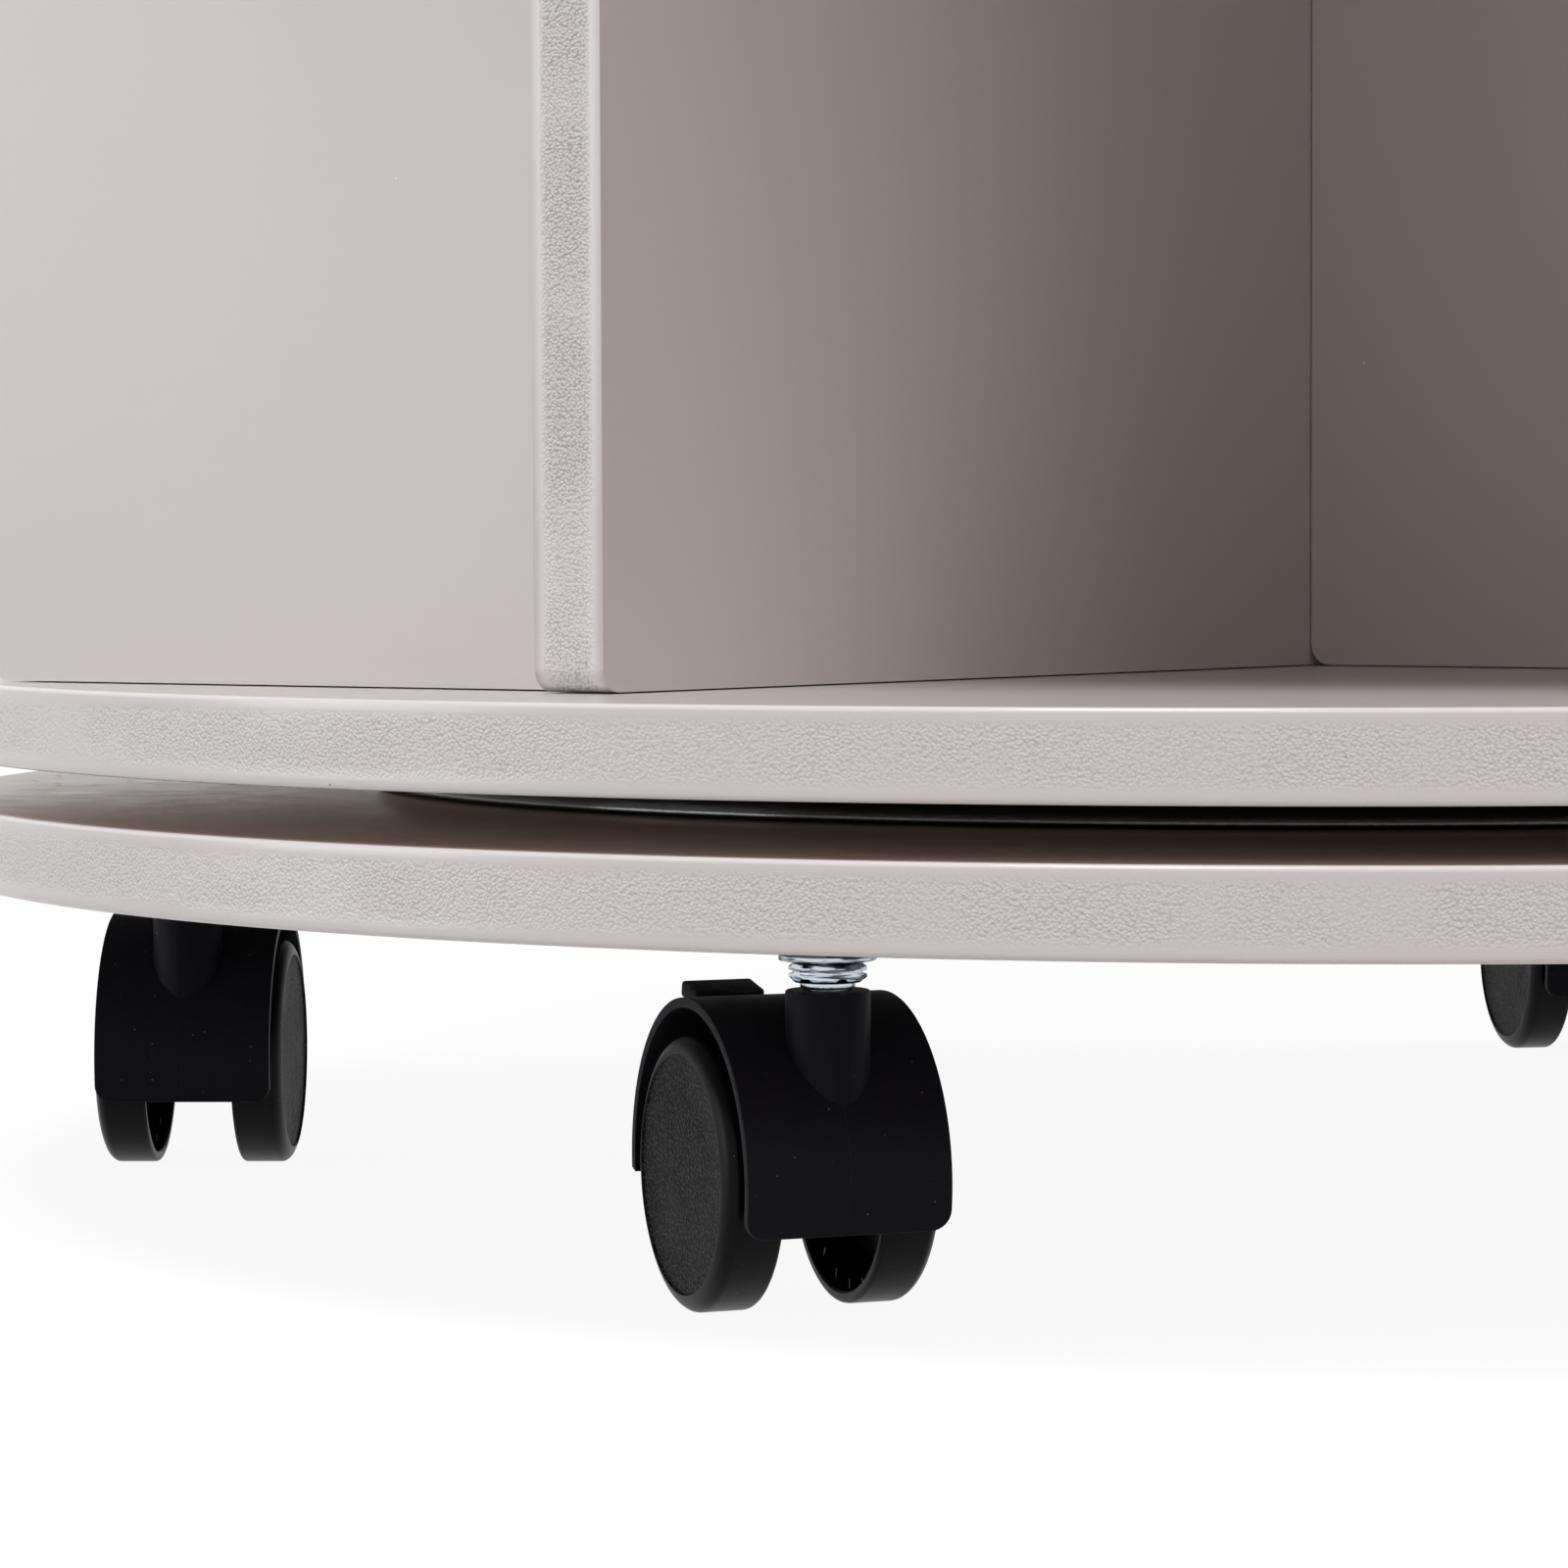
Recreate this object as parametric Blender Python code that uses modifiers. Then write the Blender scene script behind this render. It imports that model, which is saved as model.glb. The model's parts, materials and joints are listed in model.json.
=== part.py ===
"""Revolving bookcase: round white shelves on a turntable, over a round base on twin-wheel casters.

Metres, +Z up. The origin is on the floor under the turning axis. The dividers run along X and Y.
"""

import math

import bmesh
import bpy
from mathutils import Matrix, Vector

# Boards
BOARD = 0.016
DISC_R = 0.300
DISC_ARRIS = 0.002
PANEL_ARRIS = 0.0022
DISC_STEPS = 64
SEAT_GAP = 0.0003

# Carcass
TIERS = 3
BAY_HEIGHT = 0.300
DIVIDER_SETBACK = 0.042
FENCE_SETBACK = 0.011
FENCE_RIM_INSET = 0.006

# Turntable
TURNTABLE_HEIGHT = 0.0095
TURNTABLE_R = 0.206
RACE_WIDTH = 0.016
RACE_CLEAR = 0.0012
RACE_BULGE = 0.0012
RACE_STEPS = 48
BALL_R = 0.0025
BALL_COUNT = 12
BALL_CLEAR = 0.0008
CAGE_WALL = 0.0014
CAGE_HEIGHT = 0.0032

# Casters
CASTER_HEIGHT = 0.070
CASTER_INSET = 0.0522
BASE_TURN = math.radians(-19.6)
CASTER_SPREAD_DEG = 61
CASTER_TRAIL = 0.0206
WHEEL_R = 0.025
WHEEL_WIDTH = 0.0112
WHEEL_SPACING = 0.0192
WHEEL_SIDE_CLEAR = 0.001
WHEEL_WALL = 0.0022
WHEEL_SHOULDER = 0.0032
WHEEL_STEPS = 20
HUB_R = 0.0062
AXLE_R = 0.003
RUNNING_CLEAR = 0.0003
HOOD_WIDTH = 0.0385
HOOD_R = 0.0318
HOOD_WALL = 0.0018
HOOD_SKIRT = 0.0168
HOOD_CORNER_R = 0.0036
HOOD_TAIL = -0.0025
BOSS_R = 0.0076
BOSS_DROP = 0.0106
STEM_R = 0.004
STEM_GRIP = 0.020
COLLAR_R = 0.0049
COLLAR_HEIGHT = 0.0011
SHOULDER_ACROSS_FLATS = 0.0122
SHOULDER_HEIGHT = 0.0036
NUT_ACROSS_FLATS = 0.013
NUT_FLANGE_R = 0.0088
NUT_FLANGE_HEIGHT = 0.0012
INSERT_FLANGE_R = 0.0085
INSERT_FLANGE_HEIGHT = 0.0012
INSERT_BARREL_R = 0.0055
INSERT_DEPTH = 0.011

# Brake pedal, placed level from the axle: how far behind it and above it, then lifted about its pin
PEDAL_WIDTH = 0.014
PEDAL_THICK = 0.0032
PEDAL_TOP = 0.0269
PEDAL_FRONT = 0.0325
PEDAL_BACK = 0.0407
PEDAL_LIFT_DEG = 11
PEDAL_ARRIS = 0.0008
PEDAL_ARM_WIDTH = 0.008
PEDAL_ARM_THICK = 0.006
BRAKE_PIN_R = 0.0015
BRAKE_PIN_BEHIND = 0.016
BRAKE_PIN_ABOVE = 0.018
BRAKE_SLOT_ROOM = 0.0015

# Each caster: name, place round the base, the way its wheels trail, and whether it has a brake
CASTERS = (
    ("front", -90 + CASTER_SPREAD_DEG / 2, 147, True),
    ("left", -90 - CASTER_SPREAD_DEG / 2, 125, False),
    ("rear", 90 + CASTER_SPREAD_DEG / 2, 136, False),
    ("right", 90 - CASTER_SPREAD_DEG / 2, 140, True),
)

# Reaches and levels worked out from the sizes above
DIVIDER_REACH = DISC_R - DIVIDER_SETBACK
CASTER_CIRCLE_R = DISC_R - CASTER_INSET
BASE_BOTTOM = CASTER_HEIGHT
BASE_TOP = BASE_BOTTOM + BOARD
CARCASS_BOTTOM = BASE_TOP + TURNTABLE_HEIGHT
TIER_PITCH = BAY_HEIGHT + BOARD
AXLE_DROP = CASTER_HEIGHT - WHEEL_R
POCKET_R = HOOD_R - HOOD_WALL
OVERSHOOT = 0.01


def clear_scene():
    for obj in list(bpy.data.objects):
        bpy.data.objects.remove(obj, do_unlink=True)


def new_collection(name):
    collection = bpy.data.collections.new(name)
    bpy.context.scene.collection.children.link(collection)
    return collection


clear_scene()
PARTS = new_collection("RevolvingBookcase")
CUTTERS = new_collection("Cutters")


def material(name, color, roughness, metallic=0.0):
    made = bpy.data.materials.new(name)
    made.use_nodes = True
    shader = made.node_tree.nodes["Principled BSDF"]
    shader.inputs["Base Color"].default_value = (*color, 1.0)
    shader.inputs["Roughness"].default_value = roughness
    shader.inputs["Metallic"].default_value = metallic
    return made


WHITE_BOARD = material("white_board", (0.80, 0.78, 0.77), 0.45)
BLACK_RING = material("black_turntable", (0.02, 0.02, 0.02), 0.30)
BEARING_STEEL = material("bearing_steel", (0.55, 0.55, 0.56), 0.25, 1.0)
HOOD_PLASTIC = material("hood_plastic", (0.013, 0.013, 0.016), 0.50)
WHEEL_PLASTIC = material("wheel_plastic", (0.022, 0.022, 0.024), 0.55)
ZINC = material("zinc_plate", (0.52, 0.58, 0.62), 0.32, 1.0)


def place(obj, parent=None, location=(0, 0, 0), rotation=(0, 0, 0)):
    obj.parent = parent
    obj.location = location
    obj.rotation_euler = rotation
    return obj


def add_part(name, mesh, finish, parent=None, location=(0, 0, 0), rotation=(0, 0, 0)):
    obj = bpy.data.objects.new(name, mesh)
    PARTS.objects.link(obj)
    if not mesh.materials:
        mesh.materials.append(finish)
    return place(obj, parent, location, rotation)


def add_cutter(name, mesh, parent=None, location=(0, 0, 0), rotation=(0, 0, 0)):
    obj = bpy.data.objects.new(name, mesh)
    CUTTERS.objects.link(obj)
    obj.hide_render = True
    obj.display_type = "WIRE"
    return place(obj, parent, location, rotation)


def add_empty(name, parent=None, location=(0, 0, 0), rotation=(0, 0, 0)):
    obj = bpy.data.objects.new(name, None)
    obj.empty_display_size = 0.05
    PARTS.objects.link(obj)
    return place(obj, parent, location, rotation)


def boolean(obj, other, operation="DIFFERENCE"):
    modifier = obj.modifiers.new(operation.lower() + "_" + other.name, "BOOLEAN")
    modifier.operation = operation
    modifier.object = other
    modifier.solver = "EXACT"


def bevel(obj, width, segments=1, angle=30):
    modifier = obj.modifiers.new("arris", "BEVEL")
    modifier.width = width
    modifier.segments = segments
    modifier.limit_method = "ANGLE"
    modifier.angle_limit = math.radians(angle)


def smooth(mesh, angle=35):
    mesh.shade_smooth()
    mesh.set_sharp_from_angle(angle=math.radians(angle))


def arc(center, radius, start, end, count):
    """Points on an arc, angles in degrees, both ends included."""
    points = []
    for i in range(count + 1):
        a = math.radians(start + (end - start) * i / count)
        points.append((center[0] + radius * math.cos(a), center[1] + radius * math.sin(a)))
    return points


def profile_mesh(name, points, closed=False):
    """A line of (radius, height) points in the XZ plane, for a Screw modifier."""
    mesh = bpy.data.meshes.new(name)
    bm = bmesh.new()
    verts = [bm.verts.new((r, 0, z)) for r, z in points]
    for a, b in zip(verts, verts[1:]):
        bm.edges.new((a, b))
    if closed:
        bm.edges.new((verts[-1], verts[0]))
    bm.to_mesh(mesh)
    bm.free()
    return mesh


def turn(obj, steps):
    modifier = obj.modifiers.new("turn", "SCREW")
    modifier.steps = steps
    modifier.render_steps = steps
    modifier.use_merge_vertices = True
    modifier.merge_threshold = 0.00001
    modifier.use_smooth_shade = True


def box_mesh(name, size, center=(0, 0, 0)):
    mesh = bpy.data.meshes.new(name)
    bm = bmesh.new()
    bmesh.ops.create_cube(bm, size=1.0)
    bmesh.ops.scale(bm, vec=size, verts=bm.verts)
    bmesh.ops.translate(bm, vec=center, verts=bm.verts)
    bm.to_mesh(mesh)
    bm.free()
    return mesh


def rod_mesh(name, radius, low, high, sides):
    """A round or six-sided bar along Z."""
    mesh = bpy.data.meshes.new(name)
    bm = bmesh.new()
    bmesh.ops.create_cone(bm, cap_ends=True, segments=sides, radius1=radius, radius2=radius, depth=high - low)
    bmesh.ops.translate(bm, vec=(0, 0, (low + high) / 2), verts=bm.verts)
    bm.to_mesh(mesh)
    bm.free()
    if sides > 8:
        smooth(mesh)
    return mesh


def outline_mesh(name, points, thickness):
    """A closed outline in the XZ plane, as thick as stated along Y."""
    curve = bpy.data.curves.new(name + "_outline", "CURVE")
    curve.dimensions = "2D"
    curve.fill_mode = "BOTH"
    curve.extrude = thickness / 2
    spline = curve.splines.new("POLY")
    spline.points.add(len(points) - 1)
    for point, (x, z) in zip(spline.points, points):
        point.co = (x, z, 0, 1)
    spline.use_cyclic_u = True
    holder = bpy.data.objects.new(name + "_outline", curve)
    bpy.context.scene.collection.objects.link(holder)
    graph = bpy.context.evaluated_depsgraph_get()
    mesh = bpy.data.meshes.new_from_object(holder.evaluated_get(graph))
    bpy.data.objects.remove(holder, do_unlink=True)
    bm = bmesh.new()
    bm.from_mesh(mesh)
    bmesh.ops.remove_doubles(bm, verts=bm.verts, dist=0.000001)
    bmesh.ops.transform(bm, matrix=Matrix.Rotation(math.pi / 2, 4, "X"), verts=bm.verts)
    bmesh.ops.recalc_face_normals(bm, faces=bm.faces)
    bm.to_mesh(mesh)
    bm.free()
    mesh.name = name
    return mesh


def disc(name, bottom, parent):
    """A round board with softened arrises."""
    top = bottom + BOARD
    points = [(0, top)]
    points += arc((DISC_R - DISC_ARRIS, top - DISC_ARRIS), DISC_ARRIS, 90, 0, 1)
    points += arc((DISC_R - DISC_ARRIS, bottom + DISC_ARRIS), DISC_ARRIS, 0, -90, 1)
    points += [(0, bottom)]
    obj = add_part(name, profile_mesh(name, points), WHITE_BOARD, parent)
    turn(obj, DISC_STEPS)
    return obj


def panel(name, low, high, parent):
    """An upright board between two corners, its arrises softened."""
    size = [b - a for a, b in zip(low, high)]
    center = [(a + b) / 2 for a, b in zip(low, high)]
    obj = add_part(name, box_mesh(name, size, center), WHITE_BOARD, parent)
    bevel(obj, PANEL_ARRIS)
    return obj


def build_tier(index, carcass):
    """The crossed dividers of one tier, and a fence at the outer end of each."""
    floor = CARCASS_BOTTOM + BOARD + index * TIER_PITCH
    low = floor + SEAT_GAP
    high = floor + BAY_HEIGHT - SEAT_GAP
    half = BOARD / 2
    tier = f"tier{index + 1}"
    panel(f"{tier}_through_divider", (-half, -DIVIDER_REACH, low), (half, DIVIDER_REACH, high), carcass)
    inner = half + SEAT_GAP
    panel(f"{tier}_half_divider_right", (inner, -half, low), (DIVIDER_REACH, half, high), carcass)
    panel(f"{tier}_half_divider_left", (-DIVIDER_REACH, -half, low), (-inner, half, high), carcass)

    face = DIVIDER_REACH - FENCE_SETBACK
    end = math.sqrt((DISC_R - FENCE_RIM_INSET) ** 2 - face**2)
    for side, turns in (("front", 0), ("right", 1), ("back", 2), ("left", 3)):
        fence = panel(f"{tier}_fence_{side}", (-end, -face, low), (-inner, -face + BOARD, high), carcass)
        fence.data.transform(Matrix.Rotation(turns * math.pi / 2, 4, "Z"))


def build_carcass():
    carcass = add_empty("Carcass", None, (0, 0, 0))
    disc("carcass_floor", CARCASS_BOTTOM, carcass)
    for index in range(TIERS):
        build_tier(index, carcass)
        top_board = index == TIERS - 1
        name = "top_board" if top_board else f"shelf_{index + 1}"
        disc(name, CARCASS_BOTTOM + (index + 1) * TIER_PITCH, carcass)
    return carcass


def build_turntable(carcass):
    """Two black races with a ring of steel balls between them."""
    track = TURNTABLE_R - RACE_WIDTH - BALL_R * 0.5
    middle = BASE_TOP + TURNTABLE_HEIGHT / 2
    groove = BALL_R + BALL_CLEAR
    lip = groove * math.cos(math.radians(60))

    low = BASE_TOP + SEAT_GAP
    high = CARCASS_BOTTOM - RACE_CLEAR
    mid = (low + high) / 2
    outer = [(track + lip, high)]
    outer += [(TURNTABLE_R - RACE_BULGE, high), (TURNTABLE_R, mid), (TURNTABLE_R - RACE_BULGE, low)]
    outer += [(track + lip, low)]
    outer += arc((track, middle), groove, -60, 60, 4)
    race = add_part("turntable_lower_race", profile_mesh("lower_race", outer, True), BLACK_RING)
    turn(race, RACE_STEPS)

    low = BASE_TOP + RACE_CLEAR
    high = CARCASS_BOTTOM - SEAT_GAP
    inner = [(track - lip, high)]
    inner += arc((track, middle), groove, 120, 240, 4)
    inner += [(track - lip, low), (track - lip - RACE_WIDTH, low), (track - lip - RACE_WIDTH, high)]
    race = add_part("turntable_upper_race", profile_mesh("upper_race", inner, True), BLACK_RING, carcass)
    turn(race, RACE_STEPS)

    half = CAGE_WALL / 2
    rise = CAGE_HEIGHT / 2
    ring = [(track + half, rise), (track + half, -rise), (track - half, -rise), (track - half, rise)]
    cage = add_part(
        "turntable_ball_cage", profile_mesh("ball_cage", ring, True), BEARING_STEEL, None, (0, 0, middle)
    )
    turn(cage, RACE_STEPS)
    mesh = bpy.data.meshes.new("balls")
    bm = bmesh.new()
    for index in range(BALL_COUNT):
        spot = Matrix.Rotation(index * math.tau / BALL_COUNT, 4, "Z") @ Matrix.Translation((track, 0, 0))
        bmesh.ops.create_icosphere(bm, subdivisions=1, radius=BALL_R, matrix=spot)
    bm.to_mesh(mesh)
    bm.free()
    balls = add_cutter("balls", mesh, None, (0, 0, middle))
    boolean(cage, balls, "UNION")


def wheel_profile():
    """Half section of a wheel: axle along Z, open inner side at height 0, inset outer face on top."""
    width = WHEEL_WIDTH
    rim = WHEEL_R - WHEEL_WALL
    floor = width - WHEEL_WALL
    bore = AXLE_R + RUNNING_CLEAR
    inset = 0.0006
    lip = 0.0012
    points = [(0, width - inset), (rim - inset, width - inset)]
    points += arc((WHEEL_R - WHEEL_SHOULDER, width - WHEEL_SHOULDER), WHEEL_SHOULDER, 65, 0, 3)
    points += [(WHEEL_R, lip), (WHEEL_R - lip, 0)]
    points += [(rim, 0), (rim - inset, floor), (HUB_R, floor), (HUB_R, 0)]
    points += [(bore, 0), (bore, floor), (0, floor)]
    return points


def hood_outline():
    """Side outline of the caster hood, a round about the axle with its lower back cut away."""
    skirt = HOOD_SKIRT - WHEEL_R
    below = skirt - OVERSHOOT / 4
    front = 180 - math.degrees(math.asin(below / HOOD_R))
    back = math.degrees(math.asin(HOOD_TAIL / HOOD_R))
    points = arc((0, 0), HOOD_R, front, back, 18)
    points += [(HOOD_R * 0.35, below)]
    return [(x + CASTER_TRAIL, z - AXLE_DROP) for x, z in points]


def hood_front_outline():
    """Front outline of the hood: straight sides, and a skirt with rounded lower corners."""
    half = HOOD_WIDTH / 2
    skirt = HOOD_SKIRT - CASTER_HEIGHT
    corner = HOOD_CORNER_R
    points = [(-half, OVERSHOOT)]
    points += arc((-half + corner, skirt + corner), corner, 180, 270, 3)
    points += arc((half - corner, skirt + corner), corner, 270, 360, 3)
    points += [(half, OVERSHOOT)]
    return points


def build_hood(name, swivel, braked):
    prefix = f"caster_{name}"
    mesh = outline_mesh(f"{prefix}_hood", hood_outline(), HOOD_WIDTH + OVERSHOOT)
    hood = add_part(f"{prefix}_hood", mesh, HOOD_PLASTIC, swivel)
    across = outline_mesh("hood_front", hood_front_outline(), 4 * HOOD_R)
    trim = add_cutter(f"{prefix}_hood_front", across, swivel, (CASTER_TRAIL, 0, 0), (0, 0, math.pi / 2))
    boolean(hood, trim, "INTERSECT")
    boss_top = -BOSS_DROP

    boss_foot = -AXLE_DROP + HOOD_R / 4
    boss = add_cutter(f"{prefix}_boss", rod_mesh("boss", BOSS_R, boss_foot, boss_top, 20), swivel)
    boolean(hood, boss, "UNION")

    socket_low = boss_top - STEM_GRIP - RUNNING_CLEAR
    socket = rod_mesh("socket", STEM_R + RUNNING_CLEAR, socket_low, boss_top + OVERSHOOT, 16)
    boolean(hood, add_cutter(f"{prefix}_socket", socket, swivel))

    inner = WHEEL_SPACING / 2 - WHEEL_SIDE_CLEAR
    axle_spot = (CASTER_TRAIL, 0, -AXLE_DROP)
    for side, quarter in (("left", -90), ("right", 90)):
        pocket = rod_mesh("pocket", POCKET_R, inner, HOOD_WIDTH, 28)
        turned = (math.radians(quarter), 0, 0)
        boolean(hood, add_cutter(f"{prefix}_pocket_{side}", pocket, swivel, axle_spot, turned))
    bore = rod_mesh("axle_bore", AXLE_R + RUNNING_CLEAR, -HOOD_WIDTH, HOOD_WIDTH, 12)
    boolean(hood, add_cutter(f"{prefix}_axle_bore", bore, swivel, axle_spot, (math.pi / 2, 0, 0)))
    if braked:
        build_brake(prefix, hood, swivel)


def build_brake(prefix, hood, swivel):
    """The pedal behind the hood, lifted while released, its arm in a slot on its own moulded trunnions."""
    pivot = Vector((CASTER_TRAIL + BRAKE_PIN_BEHIND, 0, BRAKE_PIN_ABOVE - AXLE_DROP))
    pin_half = WHEEL_SPACING / 2 - WHEEL_SIDE_CLEAR - SEAT_GAP
    across = (math.pi / 2, 0, 0)
    lifted = (0, -math.radians(PEDAL_LIFT_DEG), 0)

    hole = rod_mesh("brake_pin_bore", BRAKE_PIN_R + RUNNING_CLEAR, -HOOD_WIDTH, HOOD_WIDTH, 12)
    boolean(hood, add_cutter(f"{prefix}_brake_pin_bore", hole, swivel, pivot, across))

    half = PEDAL_ARM_THICK / 2
    slot_foot = half + BRAKE_SLOT_ROOM
    slot_size = (2 * HOOD_R, PEDAL_ARM_WIDTH + 4 * RUNNING_CLEAR, 2 * HOOD_R)
    slot = box_mesh("brake_slot", slot_size, (HOOD_R - slot_foot, 0, HOOD_R - slot_foot))
    boolean(hood, add_cutter(f"{prefix}_brake_slot", slot, swivel, pivot))

    top = PEDAL_TOP - BRAKE_PIN_ABOVE
    low = top - PEDAL_THICK
    front = PEDAL_FRONT - BRAKE_PIN_BEHIND
    back = PEDAL_BACK - BRAKE_PIN_BEHIND
    size = (back - front, PEDAL_WIDTH, PEDAL_THICK)
    plate = box_mesh("pedal", size, ((front + back) / 2, 0, (low + top) / 2))
    pedal = add_part(f"{prefix}_brake_pedal", plate, HOOD_PLASTIC, swivel, pivot, lifted)
    bevel(pedal, PEDAL_ARRIS)
    neck = low + PEDAL_THICK / 2
    side = [(-half, half * 0.6), (-half * 0.6, -half), (half, -half), (front + 0.7 * half * 2, low - 0.0004)]
    side += [(front + 0.6 * half * 2, neck), (front + PEDAL_ARRIS, neck)]
    arm = outline_mesh("pedal_arm", side, PEDAL_ARM_WIDTH)
    boolean(pedal, add_cutter(f"{prefix}_pedal_arm", arm, swivel, pivot, lifted), "UNION")
    pin = rod_mesh("pedal_trunnions", BRAKE_PIN_R, -pin_half, pin_half, 12)
    boolean(pedal, add_cutter(f"{prefix}_pedal_trunnions", pin, swivel, pivot, across), "UNION")


def build_stem(name, mount, base_disc):
    """Threaded stem with its hexagon shoulder, flange nut under the base and blind insert nut in it."""
    prefix = f"caster_{name}"
    boss_top = -BOSS_DROP
    collar_low = boss_top + SEAT_GAP
    collar_high = collar_low + COLLAR_HEIGHT
    shoulder_high = collar_high + SHOULDER_HEIGHT
    stem_top = INSERT_DEPTH - SEAT_GAP
    stem_foot = boss_top - STEM_GRIP
    points = [(0, stem_top), (STEM_R, stem_top), (STEM_R, collar_high), (COLLAR_R, collar_high)]
    points += [(COLLAR_R, collar_low), (STEM_R, collar_low), (STEM_R, stem_foot), (0, stem_foot)]
    stem = add_part(f"{prefix}_stem", profile_mesh("stem", points), ZINC, mount)
    turn(stem, 12)
    shoulder_r = SHOULDER_ACROSS_FLATS / math.sqrt(3)
    shoulder = rod_mesh("stem_shoulder", shoulder_r, collar_high - COLLAR_HEIGHT / 2, shoulder_high, 6)
    boolean(stem, add_cutter(f"{prefix}_stem_shoulder", shoulder, mount), "UNION")

    bore = STEM_R + RUNNING_CLEAR
    nut_high = -SEAT_GAP
    nut_low = shoulder_high + SEAT_GAP
    flange_high = nut_low + NUT_FLANGE_HEIGHT
    hexagon = rod_mesh("nut_hexagon", NUT_ACROSS_FLATS / math.sqrt(3), flange_high - 0.0005, nut_high, 6)
    nut = add_part(f"{prefix}_flange_nut", hexagon, ZINC, mount)
    flange = rod_mesh("nut_flange", NUT_FLANGE_R, nut_low, flange_high, 20)
    boolean(nut, add_cutter(f"{prefix}_nut_flange", flange, mount), "UNION")
    hole = rod_mesh("nut_bore", bore, nut_low - OVERSHOOT, nut_high + OVERSHOOT, 12)
    boolean(nut, add_cutter(f"{prefix}_nut_bore", hole, mount))

    section = [(bore, INSERT_DEPTH), (INSERT_BARREL_R, INSERT_DEPTH), (INSERT_BARREL_R, INSERT_FLANGE_HEIGHT)]
    section += [(INSERT_FLANGE_R, INSERT_FLANGE_HEIGHT), (INSERT_FLANGE_R, 0), (bore, 0)]
    insert = add_part(f"{prefix}_insert_nut", profile_mesh("insert_nut", section, True), ZINC, mount)
    turn(insert, 12)

    hole = rod_mesh("insert_hole", INSERT_BARREL_R + SEAT_GAP, -OVERSHOOT, INSERT_DEPTH + SEAT_GAP, 16)
    boolean(base_disc, add_cutter(f"{prefix}_insert_hole", hole, mount))
    sink_top = INSERT_FLANGE_HEIGHT + SEAT_GAP
    sink = rod_mesh("insert_sink", INSERT_FLANGE_R + SEAT_GAP, -OVERSHOOT, sink_top, 20)
    boolean(base_disc, add_cutter(f"{prefix}_insert_sink", sink, mount))


def build_caster(name, place_deg, trail_deg, braked, base_disc, wheel_mesh):
    prefix = f"caster_{name}"
    a = math.radians(place_deg) + BASE_TURN
    spot = (CASTER_CIRCLE_R * math.cos(a), CASTER_CIRCLE_R * math.sin(a), BASE_BOTTOM)
    mount = add_empty(f"{prefix}_mount", None, spot)
    swivel = add_empty(f"{prefix}_swivel", None, spot, (0, 0, math.radians(trail_deg)))
    build_stem(name, mount, base_disc)
    build_hood(name, swivel, braked)

    axle_spot = (CASTER_TRAIL, 0, -AXLE_DROP)
    axle_half = WHEEL_SPACING / 2 + WHEEL_WIDTH - WHEEL_WALL - SEAT_GAP
    axle = rod_mesh(f"{prefix}_axle", AXLE_R, -axle_half, axle_half, 16)
    add_part(f"{prefix}_axle", axle, ZINC, swivel, axle_spot, (math.pi / 2, 0, 0))
    for side, quarter in (("left", -90), ("right", 90)):
        hub = (CASTER_TRAIL, -math.copysign(WHEEL_SPACING / 2, quarter), -AXLE_DROP)
        wheel = add_part(
            f"{prefix}_wheel_{side}", wheel_mesh, WHEEL_PLASTIC, swivel, hub, (math.radians(quarter), 0, 0)
        )
        turn(wheel, WHEEL_STEPS)


def build():
    base_disc = disc("base_disc", BASE_BOTTOM, None)
    carcass = build_carcass()
    build_turntable(carcass)
    wheel_mesh = profile_mesh("wheel", wheel_profile())
    for name, place_deg, trail_deg, braked in CASTERS:
        build_caster(name, place_deg, trail_deg, braked, base_disc, wheel_mesh)


build()
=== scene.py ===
# Revolving bookcase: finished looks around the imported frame, in metres, floor at z = 0
import json
import math

import bmesh
import bpy
from mathutils import Matrix, Vector


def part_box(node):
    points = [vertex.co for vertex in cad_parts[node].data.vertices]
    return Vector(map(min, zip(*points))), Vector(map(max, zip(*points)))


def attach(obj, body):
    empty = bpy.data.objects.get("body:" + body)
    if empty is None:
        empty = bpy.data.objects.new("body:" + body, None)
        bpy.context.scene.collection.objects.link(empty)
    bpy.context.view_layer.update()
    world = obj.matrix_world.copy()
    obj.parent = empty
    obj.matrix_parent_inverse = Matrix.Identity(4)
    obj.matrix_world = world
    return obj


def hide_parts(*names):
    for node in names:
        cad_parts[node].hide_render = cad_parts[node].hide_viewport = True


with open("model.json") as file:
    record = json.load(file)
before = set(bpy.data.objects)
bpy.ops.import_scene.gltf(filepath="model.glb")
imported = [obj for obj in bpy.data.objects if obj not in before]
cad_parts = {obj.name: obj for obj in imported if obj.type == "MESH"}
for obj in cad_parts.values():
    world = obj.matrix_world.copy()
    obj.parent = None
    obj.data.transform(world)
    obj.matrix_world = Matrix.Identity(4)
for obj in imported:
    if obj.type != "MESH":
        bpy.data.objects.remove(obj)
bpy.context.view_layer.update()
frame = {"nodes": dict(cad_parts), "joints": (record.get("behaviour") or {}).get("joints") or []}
print("frame loaded,", len(frame["nodes"]), "nodes")


# small tools for meshes

def arcPoints(centre, radius, start, end, count):
    points = []
    for i in range(count + 1):
        turn = math.radians(start + (end - start) * i / count)
        points.append((centre[0] + radius * math.cos(turn), centre[1] + radius * math.sin(turn)))
    return points


def smoothStep(low, high, value):
    t = min(1.0, max(0.0, (value - low) / (high - low)))
    return t * t * (3 - 2 * t)


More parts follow.
